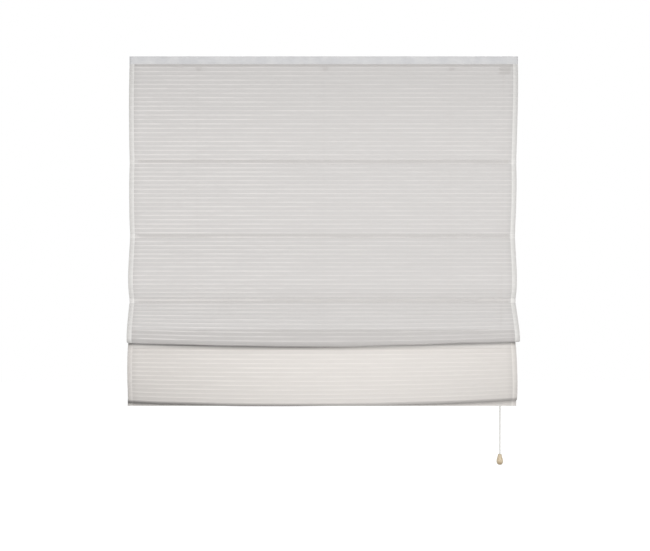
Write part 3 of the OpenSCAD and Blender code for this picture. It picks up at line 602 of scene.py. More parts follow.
def make_braid():
    """Braided cord: diagonal strands as bump, with painted shade in the lines between them."""
    material, tree, shader = new_finish("cord_braid", roughness=braid_roughness, sheen=braid_sheen)
    around, along = parts_of(tree, attribute(tree, "weave", "Vector"))[:2]
    strand = use_group(
        tree, braid_group, Around=around, Along=along, Pitch=braid_pitch, Strands=braid_strands)
    # Painted shade in the lines between strands
    shade = blend_colours(tree, ramp(tree, strand["Height"], *braid_edge_shares), braid_shade_colour, braid_light)
    feed(tree, shader.inputs["Base Color"], shade)
    bump(tree, shader, strand["Height"], braid_bump_strength, braid_bump_depth)
    return material


cord_braid = make_braid()
print("cord finish:", cord_braid.name)


# %% [markdown]
# The acorn is pale wood under a clear lacquer. A wave texture could draw year rings, but on a knob of
# this size only grain and pores show, so noise is drawn out along the turning axis. Towards the foot the
# wood is darker, which is painted shade on the underside of the acorn.

# %% Wood finish
acorn_low, acorn_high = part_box("acorn")
wood_dark = rgba((0.56, 0.44, 0.28))
wood_light = rgba((0.73, 0.62, 0.45))
wood_pore = rgba((0.42, 0.30, 0.17))
# Painted shade towards the foot
wood_foot_shade = rgba((0.24, 0.165, 0.08))
wood_squeeze = (9.0, 9.0, 1.0)
wood_grain_scale = 55.0
wood_grain_detail = 6.0
pore_scale = 260.0
pore_edge_shares = (0.52, 0.7)
pore_share = 0.25
foot_shade_height = 14 * mm
foot_shade_share = 0.8
wood_roughness = 0.41
wood_roughness_range = 0.07
wood_coat = 0.3
wood_bump_strength = 0.15
wood_bump_depth = 0.1 * mm


def make_pale_wood():
    """Pale wood: drawn-out noise for grain and pores, painted shade towards the foot, under a clear coat.
    """
    material, tree, shader = new_finish("pale_wood", roughness=wood_roughness, coat=wood_coat)
    fibre = squeezed_place(tree, wood_squeeze)
    grain = ramp(tree, noise(tree, fibre, wood_grain_scale, wood_grain_detail), cloud_low, cloud_high)
    pores = ramp(tree, noise(tree, fibre, pore_scale), *pore_edge_shares)
    base = blend_colours(tree, grain, wood_dark, wood_light)
    shade = blend_colours(tree, calc(tree, "MULTIPLY", pores, pore_share), base, wood_pore)
    up = parts_of(tree, object_place(tree))[2]
    # Painted shade: the wood darkens towards the foot
    foot_shade = ramp(tree, up, acorn_low.z, acorn_low.z + foot_shade_height, foot_shade_share, 0.0)
    feed(tree, shader.inputs["Base Color"], blend_colours(tree, foot_shade, shade, wood_foot_shade))
    feed(tree, shader.inputs["Roughness"], uneven(tree, grain, wood_roughness, wood_roughness_range))
    bump(tree, shader, grain, wood_bump_strength, wood_bump_depth)
    return material


pale_wood = make_pale_wood()
print("wood finish:", pale_wood.name)


# %% [markdown]
# A surface is worked out as a grid of points. Faces could be added one by one in a loop, but numpy
# numbers the corners of every quad at once, and the mesh takes the arrays whole. The same helper closes a
# grid into a tube or a ring, by letting its last row or column meet its first.

# %% Mesh helpers
def quads_of(rows, columns, wrap_rows=False, wrap_columns=False):
    """Corner numbers of every quad of a grid: rows run down and columns run right, seen from outside."""
    row = np.arange(rows if wrap_rows else rows - 1)[:, None]
    column = np.arange(columns if wrap_columns else columns - 1)[None, :]
    below = (row + 1) % rows
    right = (column + 1) % columns
    corners = [(row, column), (below, column), (below, right), (row, right)]
    return np.stack([down * columns + over for down, over in corners], axis=-1).reshape(-1, 4)


def new_piece(name, points, faces, finish, weave=None):
    """A smooth mesh at the origin that rides on the blind, with its finish and its weave attribute."""
    mesh = bpy.data.meshes.new(name)
    corners = [list(map(int, face)) for face in faces]
    mesh.from_pydata(np.asarray(points, float).reshape(-1, 3).tolist(), [], corners)
    mesh.polygons.foreach_set("use_smooth", np.full(len(mesh.polygons), True))
    if weave is not None:
        layer = mesh.attributes.new("weave", "FLOAT_VECTOR", "POINT")
        layer.data.foreach_set("vector", np.asarray(weave, np.float32).ravel())
    mesh.materials.append(finish)
    mesh.update()
    piece = bpy.data.objects.new(name, mesh)
    bpy.context.scene.collection.objects.link(piece)
    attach(piece, body)
    return piece


def unit(v):
    """Vectors of length one."""
    return v / np.linalg.norm(v, axis=-1, keepdims=True)


def smooth_step(value, low, high):
    """0 below low, 1 above high, and the cubic 3t^2 - 2t^3 between."""
    t = np.clip((value - low) / (high - low), 0, 1)
    return t * t * (3 - 2 * t)


def running_length(points):
    """Length along a line of points, from 0 at the first."""
    steps = np.linalg.norm(np.diff(points, axis=0), axis=1)
    return np.concatenate([[0.0], np.cumsum(steps)])


print("mesh helpers ready")


# %% [markdown]
# Seen from the side, the sheet hangs in one long bent line: straight where a tape holds it, a curve where
# it bellies out, a half circle where it turns. A cloth simulation could find such a line, but the rods
# already fix where the cloth is held, so a chain of simple curves is quicker and always the same. A curve
# is a function of t from 0 to 1 that gives (y, z) for every column.

# %% Curves of the section
def spot(y, z):
    """A (y, z) point for one column, or for all of them where z is an array."""
    return np.stack(np.broadcast_arrays(y, z), axis=-1).reshape(-1, 2)


def straight(a, b):
    """a + t(b - a)."""
    return lambda t: a + t[:, None, None] * (b - a)


def cubic(a, b, c, d):
    """The cubic curve from a to d with handles b and c, its weights (1 - t)^3 to t^3."""
    def at(t):
        """The points at t, for every column."""
        t = t[:, None, None]
        return (1 - t) ** 3 * a + 3 * (1 - t) ** 2 * t * b + 3 * (1 - t) * t ** 2 * c + t ** 3 * d
    return at


def half_circle(centre, radius, side):
    """centre + radius (cos, sin), the angle going from pi to pi - side pi: over the top if side is 1."""
    def at(t):
        """The points at t, for every column."""
        angle = np.pi * (1 - side * t)[:, None]
        return centre + radius * np.stack([np.cos(angle), np.sin(angle)], axis=-1)
    return at


print("curves: straight, cubic and half circle")


# %% [markdown]
# Between two rods the cloth bellies a little forward, and at the two folds it comes forward and down to a
# lip and climbs back up behind. The lips are lowest a little left of the middle and rise towards the
# ends. A Bezier curve object could draw this, but as formulas the same curves serve every column, each
# with its own height of the lip.

# %% Bellies and folds
cloth_thickness = 0.6 * mm
seat_gap = 0.1 * mm
rod_numbers = (1, 2, 3, 4, 5)
tape_boxes = [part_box(f"pocket_tape_{i}") for i in rod_numbers]
rod_plane = tape_boxes[0][0].y - seat_gap - cloth_thickness
handle_share = 0.33
low_share = 0.45
lip_share = 0.72


def rise(share, rises):
    """How far an edge rises at a share of the width: a parabola on each side of its lowest place."""
    left = rises[0] * ((low_share - share) / low_share) ** 2
    right = rises[1] * ((share - low_share) / (1 - low_share)) ** 2
    return np.where(share < low_share, left, right)


def belly(a, b, depth, shares):
    """A cubic curve whose upper and lower handles stand forward by these shares of the depth."""
    h = handle_share * (a[:, 1] - b[:, 1])
    return cubic(a, a - spot(shares[0] * depth, h), b + spot(-shares[1] * depth, h), b)


def fold(a, turn, reach, shares, lip_z):
    """Two cubic curves: forward and down to the lip, then back up behind to the hairpin."""
    lip = spot(rod_plane - lip_share * reach, lip_z)
    lean = spot(shares[0] * reach, shares[1] * (a[:, 1] - lip_z))
    run, climb = (turn - lip)[:, 0], (turn - lip)[:, 1]
    front = cubic(a, a - lean, lip - spot((shares[2] - lip_share) * reach, 0.0), lip)
    back = cubic(lip, lip + spot(shares[3] * run, 0 * run), turn - spot(0 * climb, shares[4] * climb), turn)
    return front, back


print("lips are lowest at", low_share, "of the width")


# %% [markdown]
# Now the curves are chained into the whole section, from the top of the heading to the raw edge inside
# the hem. It could be a list with numbers to remember, but names such as pocket_3 and pleat_front read
# better later on, when rows, seams and shade have to be put in their places.

# %% Section of the sheet
pass_gap = 0.3 * mm
upper_belly = 14 * mm
middle_belly = 27 * mm
fold_reach = 50 * mm
fold_drop = 40 * mm
pleat_reach = 32 * mm
pleat_drop = 169 * mm
# How far a lip rises at its left and its right end
fold_rises = (12 * mm, 15 * mm)
pleat_rises = (10 * mm, 19 * mm)
turn_gap = 7 * mm
hem_lap = 2.7 * mm
# Handles of a belly: forward at its top and forward at its foot
upper_belly_shares = (0.8, 1.1)
middle_belly_shares = (0.5, 1.6)
# Handles of a fold: forward and down at its top, forward at its lip, back at its lip, down at the hairpin
fold_shares = (0.5, 0.35, 1.5, 0.2, 0.15)
pleat_shares = (1.6, 0.1, 1.12, 0.45, 0.5)

tape_tops = [high.z for low, high in tape_boxes]
tape_bottoms = [low.z for low, high in tape_boxes]
rod_heights = [(top + bottom) / 2 for top, bottom in zip(tape_tops, tape_bottoms)]
fold_lip = rod_heights[3] - fold_drop
pleat_lip = rod_heights[4] - pleat_drop
head_plane = band_high.y + seat_gap
bar_low, bar_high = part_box("bottom_bar")
hem_front_plane = bar_low.y - pass_gap - cloth_thickness
hem_back_plane = bar_high.y + pass_gap + cloth_thickness
hem_middle = (hem_front_plane + hem_back_plane) / 2
hem_radius = (hem_back_plane - hem_front_plane) / 2
hem_top = bar_high.z + hem_lap


def sheet_stretches(share):
    """Every stretch of the section by name, in order, for columns at these shares of the width."""
    tops = [spot(rod_plane, z) for z in tape_tops]
    bottoms = [spot(rod_plane, z) for z in tape_bottoms]
    head_foot = spot(head_plane, band_low.z)
    hem_corner = spot(hem_front_plane, hem_top)
    back_turn = spot(turn_gap, 0.0)
    fold_z = fold_lip + rise(share, fold_rises)
    pleat_z = pleat_lip + rise(share, pleat_rises)
    fold_front, fold_back = fold(bottoms[2], tops[3] - back_turn, fold_reach, fold_shares, fold_z)
    pleat_front, pleat_back = fold(bottoms[3], tops[4] - back_turn, pleat_reach, pleat_shares, pleat_z)
    return {
        "head": straight(spot(head_plane, band_high.z), head_foot),
        "panel_1": belly(head_foot, tops[0], upper_belly, upper_belly_shares),
        "pocket_1": straight(tops[0], bottoms[0]),
        "panel_2": belly(bottoms[0], tops[1], upper_belly, upper_belly_shares),
        "pocket_2": straight(tops[1], bottoms[1]),
        "panel_3": belly(bottoms[1], tops[2], middle_belly, middle_belly_shares),
        "pocket_3": straight(tops[2], bottoms[2]),
        "fold_front": fold_front,
        "fold_back": fold_back,
        "fold_turn": half_circle(tops[3] - back_turn / 2, turn_gap / 2, 1),
        "pocket_4": straight(tops[3], bottoms[3]),
        "pleat_front": pleat_front,
        "pleat_back": pleat_back,
        "pleat_turn": half_circle(tops[4] - back_turn / 2, turn_gap / 2, 1),
        "pocket_5": straight(tops[4], bottoms[4]),
        "last_panel": straight(bottoms[4], hem_corner),
        "hem_front": straight(hem_corner, spot(hem_front_plane, bar_low.z)),
        "hem_turn": half_circle(spot(hem_middle, bar_low.z), hem_radius, -1),
        "hem_back": straight(spot(hem_back_plane, bar_low.z), spot(hem_back_plane, hem_top)),
    }


print("section: lips at", round(fold_lip, 3), "and", round(pleat_lip, 3), "m")


# %% [markdown]
# Cloth bends but hardly stretches, so places on it are counted as length along the cloth. The length
# could be worked out by calculus for each kind of curve. A table is simpler: every stretch is walked in
# small steps on the middle column, and the table gives length against t.

# %% Unfold the section
middle_share = 0.5
table_steps = 240
table_t = np.linspace(0, 1, table_steps)
stretch_lengths = {}
cloth_length = 0.0
for name, stretch in sheet_stretches(np.array([middle_share])).items():
    stretch_lengths[name] = cloth_length + running_length(stretch(table_t)[:, 0, :])
    cloth_length = stretch_lengths[name][-1]
stretch_ends = {name: (along[0], along[-1]) for name, along in stretch_lengths.items()}
print("section:", len(stretch_ends), "stretches, unfolding to", round(cloth_length, 3), "m")


# %% [markdown]
# A rib needs only a few rows: flat ground, up, over and down. An even grid fine enough for that would be
# several times larger, so the rows are set out by length along the cloth, five to a rib, with extra rows
# at the tapes and in the tight turns.

# %% Rows of the sheet
rib_pitch = 13.5 * mm
rib_phases = np.array([0.0, 0.28, 0.38, 0.62, 0.72])
rows_in_hold = 9
row_merge = 0.5 * mm
pocket_names = [f"pocket_{i}" for i in rod_numbers]
turn_names = ["fold_turn", "pleat_turn", "hem_turn"]

rib_rows = ((np.arange(int(cloth_length / rib_pitch) + 1)[:, None] + rib_phases) * rib_pitch).ravel()
hold_rows = [np.linspace(*stretch_ends[name], rows_in_hold) for name in turn_names + pocket_names]
row_places = np.concatenate([rib_rows, *hold_rows, [cloth_length]])
row_places = np.unique(np.round(row_places[row_places <= cloth_length] / row_merge)) * row_merge
row_places = np.minimum(row_places, cloth_length)
print("rows:", len(row_places))


# %% [markdown]
# The side hems are the sheet's own edges, turned under. They could be strips laid behind it, but then
# their edges would show a gap. So the grid itself goes on round each side: a few columns come forward
# from the raw edge behind the cloth, turn round in a small half circle, and then the main columns cross
# to the other side.

# %% Columns of the sheet
side_turn_radius = 0.6 * mm
side_turn_points = 6
hem_columns = 4
main_columns = 72
edge_margin_share = 0.004

turn_angles = np.linspace(0, np.pi, side_turn_points)[1:]
flat_inset = np.linspace(side_hem, side_turn_radius, hem_columns)
hem_inset = np.concatenate([flat_inset, side_turn_radius * (1 - np.sin(turn_angles))])
flat_behind = np.full(hem_columns, -2 * side_turn_radius)
hem_behind = np.concatenate([flat_behind, -side_turn_radius * (1 + np.cos(turn_angles))])
main_shares = np.linspace(edge_margin_share, 1 - edge_margin_share, main_columns)
shares = np.concatenate([0 * hem_inset, main_shares, 0 * hem_inset + 1])
insets = np.concatenate([hem_inset, 0 * main_shares, -hem_inset[::-1]])
behind = np.concatenate([hem_behind, 0 * main_shares, hem_behind[::-1]])
across_place = -half_width + 2 * half_width * shares + insets
print("columns:", len(shares))


# %% [markdown]
# Each row is now found on its stretch, for every column at once. The way off the cloth, square to the
# section, comes from the difference between one row and the next. Blender could give it as vertex
# normals, but it is needed before there is a mesh, because ribs and waves are steps in that direction.

# %% Place the rows on the section
def section_at(share):
    """(y, z) of the front face at every row and column, with t read from the middle column's lengths."""
    blocks = []
    for name, stretch in sheet_stretches(share).items():
        start, end = stretch_ends[name]
        is_last = end >= cloth_length - row_merge
        chosen = row_places[(row_places >= start) & ((row_places < end) | is_last)]
        block = stretch(np.interp(chosen, stretch_lengths[name], table_t))
        blocks.append(np.broadcast_to(block, (len(chosen), len(share), 2)))
    return np.concatenate(blocks)


section = section_at(shares)
tangent = unit(np.gradient(section, axis=0))
front_way = np.stack([tangent[..., 1], -tangent[..., 0]], axis=-1)
print("section placed:", section.shape[0], "rows by", section.shape[1], "columns")


# %% [markdown]
# Cloth never hangs perfectly flat. A noise modifier could ruffle it, but it would also move the cloth off
# its rods. So a sum of slow sine waves is added, times a freedom that dies away where rods, turns and
# stitches hold the sheet. The waves come from a seeded generator, so the blind is the same each time.

# %% Waviness
wave_count = 16
wave_seed = 11
wave_height = 1.1 * mm
wave_free_length = 70 * mm
across_wave = 2.6
along_wave = 3.4


def waviness(along, across):
    """A sum of sine waves in both directions, with seeded sizes and phases, from about -1 to 1."""
    draw = np.random.default_rng(wave_seed)
    across_rates = draw.normal(0, across_wave, wave_count)
    along_rates = draw.normal(0, along_wave, wave_count)
    phases = draw.uniform(0, 2 * np.pi, wave_count)
    turns = across_rates * across[..., None] + along_rates * along[..., None]
    return np.sin(2 * np.pi * turns + phases).sum(axis=-1) / math.sqrt(wave_count)


head_end = stretch_ends["head"][1]
held_places = [head_end] + [sum(stretch_ends[name]) / 2 for name in pocket_names + turn_names]
nearest_hold = np.min(np.abs(row_places[:, None] - np.array(held_places)), axis=1)
freedom = smooth_step(nearest_hold, 0.0, wave_free_length)
freedom = freedom * smooth_step(row_places, head_end, head_end + wave_free_length)
wave = waviness(row_places[:, None] + 0 * shares, across_place + 0 * row_places[:, None])
waves = wave_height * wave * freedom[:, None]
print("waves: up to", round(np.abs(waves).max() / mm, 2), "mm")


# %% [markdown]
# Ribs stand a little off the cloth, each rod makes a slight roll, and a row of stitches pulls the cloth
# in. All three could be bumps in the finish, but the edge of the sheet would then stay flat, so they are
# real steps: one height for each row.

# %% Ribs and seams in relief
rib_height = 0.35 * mm
rib_profile = np.array([0.0, 0.0, 1.0, 1.0, 0.0])
rod_roll = 0.7 * mm
stitch_inset = 2.2 * mm
stitch_dip = 0.35 * mm
stitch_dip_width = 1.4 * mm
pocket_spans = [stretch_ends[name] for name in pocket_names]


def pocket_relief(low, high):
    """A parabola over the rod between two seams, and a dip exp(-(distance / width)^2) at each seam."""
    middle, half = (low + high) / 2, (high - low) / 2
    roll = rod_roll * np.clip(1 - ((row_places - middle) / (half - stitch_inset)) ** 2, 0, 1)
    seams = np.array([low + stitch_inset, high - stitch_inset])
    dips = np.exp(-(((row_places[:, None] - seams) / stitch_dip_width) ** 2))
    return roll - stitch_dip * dips.sum(axis=1)


relief = rib_height * np.interp(row_places / rib_pitch % 1.0, rib_phases, rib_profile)
relief = relief + sum(pocket_relief(low, high) for low, high in pocket_spans)
print("relief:", round(relief.min() / mm, 2), "to", round(relief.max() / mm, 2), "mm")


# %% [markdown]
# The sides of a raised blind are not quite straight: rods keep the cloth at its width, and between them
# the edges draw in on the right or spread out on the left. They could be pulled by hand in Edit Mode. A
# short table of places and shares says the same and stays readable: an edge is steady at each hold and
# changes by smooth steps between.

# %% Sides of the sheet
edge_draw = 10 * mm
edge_spread = 8 * mm
# First and last stretch of a hold, then the shares of the draw and of the spread there
edge_holds = (
    ("head", "head", 0.0, 0.0),
    ("pocket_1", "pocket_1", 0.32, 0.2),
    ("pocket_2", "pocket_2", 0.7, 0.05),
    ("pocket_3", "pocket_3", 0.52, 0.28),
    ("fold_back", "fold_front", 0.2, 0.0),
    ("fold_turn", "pocket_4", 1.0, 0.2),
    ("pleat_back", "pleat_front", 0.6, 0.15),
    ("pleat_turn", "pocket_5", 0.5, 0.4),
    ("hem_turn", "hem_back", 0.3, 1.0),
)
first_stretches, last_stretches, draw_shares, spread_shares = zip(*edge_holds)
hold_starts = [stretch_ends[name][0] for name in first_stretches]
hold_ends = [stretch_ends[name][1] for name in last_stretches]


def edge_amounts(full, hold_shares):
    """The full amount times a share: steady at each hold, and changing by smooth steps between them."""
    changes = np.diff(hold_shares)
    steps_on = [smooth_step(row_places, end, start) for end, start in zip(hold_ends, hold_starts[1:])]
    return full * (hold_shares[0] + changes @ np.array(steps_on))[:, None]


drawn = edge_amounts(edge_draw, draw_shares)
spread = edge_amounts(edge_spread, spread_shares)
sheet_x = -half_width - spread + shares * (2 * half_width + spread - drawn) + insets
print("sides: from", round(sheet_x.min(), 4), "to", round(sheet_x.max(), 4), "m")


# %% [markdown]
# The sheet is the section, moved off by relief and waves, with its sides in place. A Solidify modifier
# could give it thickness, but voile is thin and sheer, so one surface in the middle of the cloth is
# enough and shows no double edges. The weave attribute goes with it.

# %% Shape the sheet
offset = relief[:, None] + waves + behind - cloth_thickness / 2
yz = section + offset[..., None] * front_way
sheet_points = np.stack([sheet_x, yz[..., 0], yz[..., 1]], axis=-1)
sheet_weave = np.stack(np.broadcast_arrays(
    across_place, (row_places / rib_pitch)[:, None], row_places[:, None]), axis=-1)
sheet_faces = quads_of(len(row_places), len(shares))
sheet = new_piece("cloth_sheet", sheet_points, sheet_faces, voile, sheet_weave)
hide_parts("cloth")
print("sheet:", len(sheet.data.polygons), "quads")


# %% [markdown]
# Shade is a gain on the sheet's colour. It is over one where a tape doubles the cloth, and under one
# below the rail, where the cloth rolls under at a lip, and in the slit below each lip. Lamps could make
# all of this, but soft light fills such narrow places too well, so the sheet carries it as a number on
# every point. A lip rises towards the ends, so its shade goes by height in each column.

# %% Shade of tapes and lips
rail_gain = -0.09
rail_fade = 300 * mm
tape_gain = 0.11
tape_edge = 3 * mm
rod_line_gain = -0.1
rod_line_width = 2 * mm
lip_turn_shares = (0.42, 0.65)
lip_right_share = 0.68
# The stretch that starts at the lip, the first and last stretch with the shade, its gain and its height
lip_shades = (
    ("fold_back", "fold_front", "fold_back", -0.2, 11 * mm),
    ("pleat_back", "pleat_front", "pleat_back", -0.58, 6 * mm),
    ("fold_back", "pleat_front", "pleat_front", -0.9, 8 * mm),
    ("pleat_back", "last_panel", "hem_turn", -0.75, 9 * mm),
)


def pocket_shade(low, high):
    """A gain over a tape, fading at its edges, with a faint darker line where the rod lies."""
    on_tape = smooth_step(row_places, low, low + tape_edge)
    on_tape = on_tape - smooth_step(row_places, high - tape_edge, high)
    rod_line = np.exp(-(((row_places - (low + high) / 2) / rod_line_width) ** 2))
    return tape_gain * on_tape + rod_line_gain * rod_line


def lip_shade(lip, first, last, gain, height):
    """On some stretches, gain exp(-(height from the lip / height)^2), and less of it on the right."""
    lip_row = np.searchsorted(row_places, stretch_ends[lip][0])
    difference = section[..., 1] - section[lip_row, :, 1]
    on_cloth = (row_places >= stretch_ends[first][0]) & (row_places <= stretch_ends[last][1])
    strength = 1 + (lip_right_share - 1) * smooth_step(shares, *lip_turn_shares)
    return gain * strength * on_cloth[:, None] * np.exp(-((difference / height) ** 2))


under_rail = 1 - smooth_step(row_places, head_end, head_end + rail_fade)
row_shade = rail_gain * under_rail + sum(pocket_shade(low, high) for low, high in pocket_spans)
shade = 1 + row_shade[:, None] + sum(lip_shade(*values) for values in lip_shades)
print("shade: tapes", tape_gain, "and", len(lip_shades), "bands at the lips")


# %% [markdown]
# The last pleat hangs in front of more cloth, so it looks denser and warmer than the sheet above. Its
# lighter colour is painted light: sheerer cloth would add up to it by itself, but it would also show every
# fitting behind it as a dark shape. So a number called layers says where the cloth is doubled, and a gain
# that falls to both sides and downwards paints more light at the top of its middle, where it is lightest.

# %% Layers and the last pleat
# Painted light on the last pleat, lightest at the top of its middle
pleat_light_gain = 0.116
pleat_light_share = 0.57
pleat_side_gain = -0.085
pleat_corner_gain = -0.085
pleat_foot_gain = -0.112


def pleat_shade():
    """Painted light on the pleat's front, falling as a parabola aside, steeper lower down, and evenly down.
    """
    start, end = stretch_ends["pleat_front"]
    on_pleat = (row_places >= start) & (row_places <= end)
    down = ((row_places - start) / (end - start))[:, None]
    aside = (2 * (shares - pleat_light_share)) ** 2
    fall = (pleat_side_gain + pleat_corner_gain * down) * aside + pleat_foot_gain * down
    return on_pleat[:, None] * (pleat_light_gain + fall)


def add_number(piece, name, values):
    """A float attribute with one value for each point of a piece."""
    layer = piece.data.attributes.new(name, "FLOAT", "POINT")
    layer.data.foreach_set("value", np.asarray(values, np.float32).ravel())


# Layers: denser, warmer cloth that also gets painted light
layered = smooth_step(row_places, *stretch_ends["fold_turn"])
add_number(sheet, "layers", layered[:, None] + 0 * shares)
shade = np.maximum(shade + pleat_shade(), 0)
add_number(sheet, "shade", shade)
print("layers up to", layered.max(), "and shade from", round(shade.min(), 2), "to", round(shade.max(), 2))


# %% [markdown]
# The heading band is a strip of stiff, close-woven webbing sewn over the top of the sheet. A bevelled box
# could stand for it, but webbing has round edges and is never quite even. So a flat oval is carried along
# the rail with a trace of ripple, and it grows thin at each end.

# %% Heading band
band_columns = 160
band_corner_points = 6
band_round_share = 0.95
band_ripple = 0.25 * mm
band_wave_count = 6
band_wave_rates = (20, 90)
band_phases = (0, 6)
band_end_length = 1.5 * mm
band_end_share = 0.1
band_end_shrink = 0.01
band_seed = 5
band_half_thickness = (band_high.y - band_low.y) / 2
band_half_height = (band_high.z - band_low.z) / 2
band_middle = np.array([(band_low.y + band_high.y) / 2, (band_low.z + band_high.z) / 2])


def flat_oval(half_y, half_z, corner):
    """Closed section: a rectangle with rounded corners, as (y, z) round its middle."""
    quarter = np.linspace(0, np.pi / 2, band_corner_points)
    angles = quarter + np.pi / 2 * np.arange(4)[:, None]
    arcs = corner * np.stack([np.cos(angles), np.sin(angles)], axis=-1)
    sides = np.array([[1, 1], [-1, 1], [-1, -1], [1, -1]])
    return (sides[:, None] * [half_y - corner, half_z - corner] + arcs).reshape(-1, 2)


band_section = flat_oval(band_half_thickness, band_half_height, band_half_thickness * band_round_share)
band_x = np.linspace(-half_width, half_width, band_columns)
band_draw = np.random.default_rng(band_seed)
band_rates = band_draw.uniform(*band_wave_rates, band_wave_count)
band_starts = band_draw.uniform(*band_phases, band_wave_count)
band_waves = np.sin(np.outer(band_x, band_rates) + band_starts).mean(axis=1)
end_fade = smooth_step(half_width - np.abs(band_x), 0.0, band_end_length)
end_fade = band_end_share + (1 - band_end_share) * end_fade
end_scale = np.stack([end_fade, 1 - band_end_shrink * (1 - end_fade)], axis=-1)
ring = band_section * end_scale[:, None, :] + band_middle
ring[..., 1] += band_ripple * band_waves[:, None] * np.sign(band_section[:, 1])
band_points = np.concatenate([np.broadcast_to(band_x[:, None, None], (*ring.shape[:2], 1)), ring], axis=-1)
print("band: section of", len(band_section), "points")


# %% [markdown]
# Band, cords, knots and whipping are all rings of points in a row, so one function gives the faces of
# such a tube. A curve object with a bevel would make tubes too, but a mesh of our own can carry the weave
# attribute. A tube that closes on itself has no ends, and any other gets a face at each end.

# %% Tube faces and the band
def tube_faces(rings, sides, closed=False):
    """Side quads of a tube, and two end faces unless it closes on itself."""
    quads = quads_of(rings, sides, wrap_rows=closed, wrap_columns=True)[:, ::-1].tolist()
    ends = [list(range(sides))[::-1], list(range((rings - 1) * sides, rings * sides))]
    return quads if closed else quads + ends


band_faces = tube_faces(band_columns, len(band_section))
band = new_piece("heading_webbing", band_points, band_faces, band_weave)
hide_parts("heading_band")
print("band:", len(band.data.polygons), "faces")


# %% [markdown]
# Every seam shows a row of stitches. An array modifier on a curve could repeat one, but thousands of live
# copies are slow. A stitch is a small grain of thread, pointed at both ends, and numpy sets one at each
# place along a seam, turned to follow the line and lying on the cloth.

# %% Stitch rows
stitch_pitch = 5 * mm
stitch_length = 3.6 * mm
stitch_radius = 0.25 * mm
stitch_ring_share = 0.25
corner = np.arange(4)
beside = (corner + 1) % 4
first_tip, second_tip = 0 * corner, 0 * corner + 1
first_ring, second_ring = 2, 6
grain_faces = np.concatenate([
    np.stack([first_tip, first_ring + corner, first_ring + beside], axis=1),
    np.stack([second_tip, second_ring + beside, second_ring + corner], axis=1),
    np.stack([first_ring + corner, second_ring + corner, second_ring + beside], axis=1),
    np.stack([first_ring + corner, second_ring + beside, first_ring + beside], axis=1)])


def stitch_row(line, out):
    """Grains along a line of points: two tips and two rings of four, with out as the way off the cloth."""
    along = running_length(line)
    places = np.arange(stitch_pitch, along[-1] - stitch_pitch, stitch_pitch)

    def at_places(values):
        """Values along the line, read off at each stitch."""
        return np.stack([np.interp(places, along, values[:, k]) for k in range(3)], axis=-1)

    middle, up = at_places(line), unit(at_places(out))
    way = unit(at_places(np.gradient(line, axis=0)))
    side = np.cross(up, way)
    tips = [middle - way * stitch_length / 2, middle + way * stitch_length / 2]
    rings = [middle + way * end * stitch_ring_share * stitch_length + stitch_radius * direction
             for end in (-1, 1) for direction in (up, side, -up, -side)]
    return np.stack(tips + rings, axis=1)


def stitches(name, rows):
    """One piece holding all the grains of several seams."""
    grains = np.concatenate([stitch_row(line, out) for line, out in rows])
    corners = (np.arange(len(grains))[:, None, None] * grains.shape[1] + grain_faces).reshape(-1, 3)
    return new_piece(name, grains, corners, thread_weave)


print("a stitch has", len(grain_faces), "faces")


# %% [markdown]
# The rod tapes are sewn along both edges, and their stitches show on the front and on the back. The hem
# is sewn above and behind the bar, and each side hem near its inner edge. The lines could be drawn by
# hand, but the sheet's own rows and columns already run along every seam.

# %% Seams of the sheet
stitch_lift = 0.1 * mm
tape_flat = 0.5 * mm
front_3d = np.concatenate([0 * front_way[..., :1], front_way], axis=-1)
main = slice(len(hem_inset), len(hem_inset) + main_columns)


def across_seam(place, side, lift):
    """A line across the sheet at a length along it, on front or back, with the way off the cloth."""
    row = np.searchsorted(row_places, place)
    line = sheet_points[row, main] + (lift * side) * front_3d[row, main]
    return line, side * front_3d[row, main]


pocket_seams = [place for low, high in pocket_spans for place in (low + stitch_inset, high - stitch_inset)]
back_lift = cloth_thickness / 2 + seat_gap + tape_flat + stitch_lift
pocket_rows = [across_seam(place, 1, stitch_lift) for place in pocket_seams]
pocket_rows += [across_seam(place, -1, back_lift) for place in pocket_seams]
pocket_thread = stitches("pocket_stitches", pocket_rows)

hem_seams = (stretch_ends["hem_front"][0] + stitch_inset, cloth_length - stitch_inset)
hem_thread = stitches("hem_stitches", [across_seam(place, 1, stitch_lift) for place in hem_seams])

seam_from_column = side_hem - stitch_inset - 2 * half_width * edge_margin_share
side_rows = []
for column, way in ((main.start, 1), (main.stop - 1, -1)):
    out = front_3d[:, column]
    side_rows.append((sheet_points[:, column] + stitch_lift * out + [way * seam_from_column, 0, 0], out))
side_thread = stitches("side_stitches", side_rows)
print("stitches:", [len(p.data.polygons) for p in (pocket_thread, hem_thread, side_thread)], "faces")


# %% [markdown]
# Two straight rows of stitches hold the band. With them the sheet is whole.

# %% Band seams
band_seam_inset = 2.6 * mm
band_line = np.linspace(-half_width + stitch_pitch, half_width - stitch_pitch, band_columns)
band_out = np.broadcast_to([0.0, -1.0, 0.0], (band_columns, 3))
band_rows = [(np.stack(np.broadcast_arrays(band_line, band_low.y - stitch_lift, z), axis=-1), band_out)
             for z in (band_low.z + band_seam_inset, band_high.z - band_seam_inset)]
band_thread = stitches("band_stitches", band_rows)


# %% [markdown]
# Three lift cords start at the bottom rings, climb behind the cloth, turn over a guide wheel, run along
# inside the rail to the lock, turn down and hang to the acorn. A simulated rope could find its own way,
# but a pulled cord is straight between the wheels, so the path is straight runs with true quarter
# circles. In the rail the cords keep to lanes of their own, so that they don't cross.

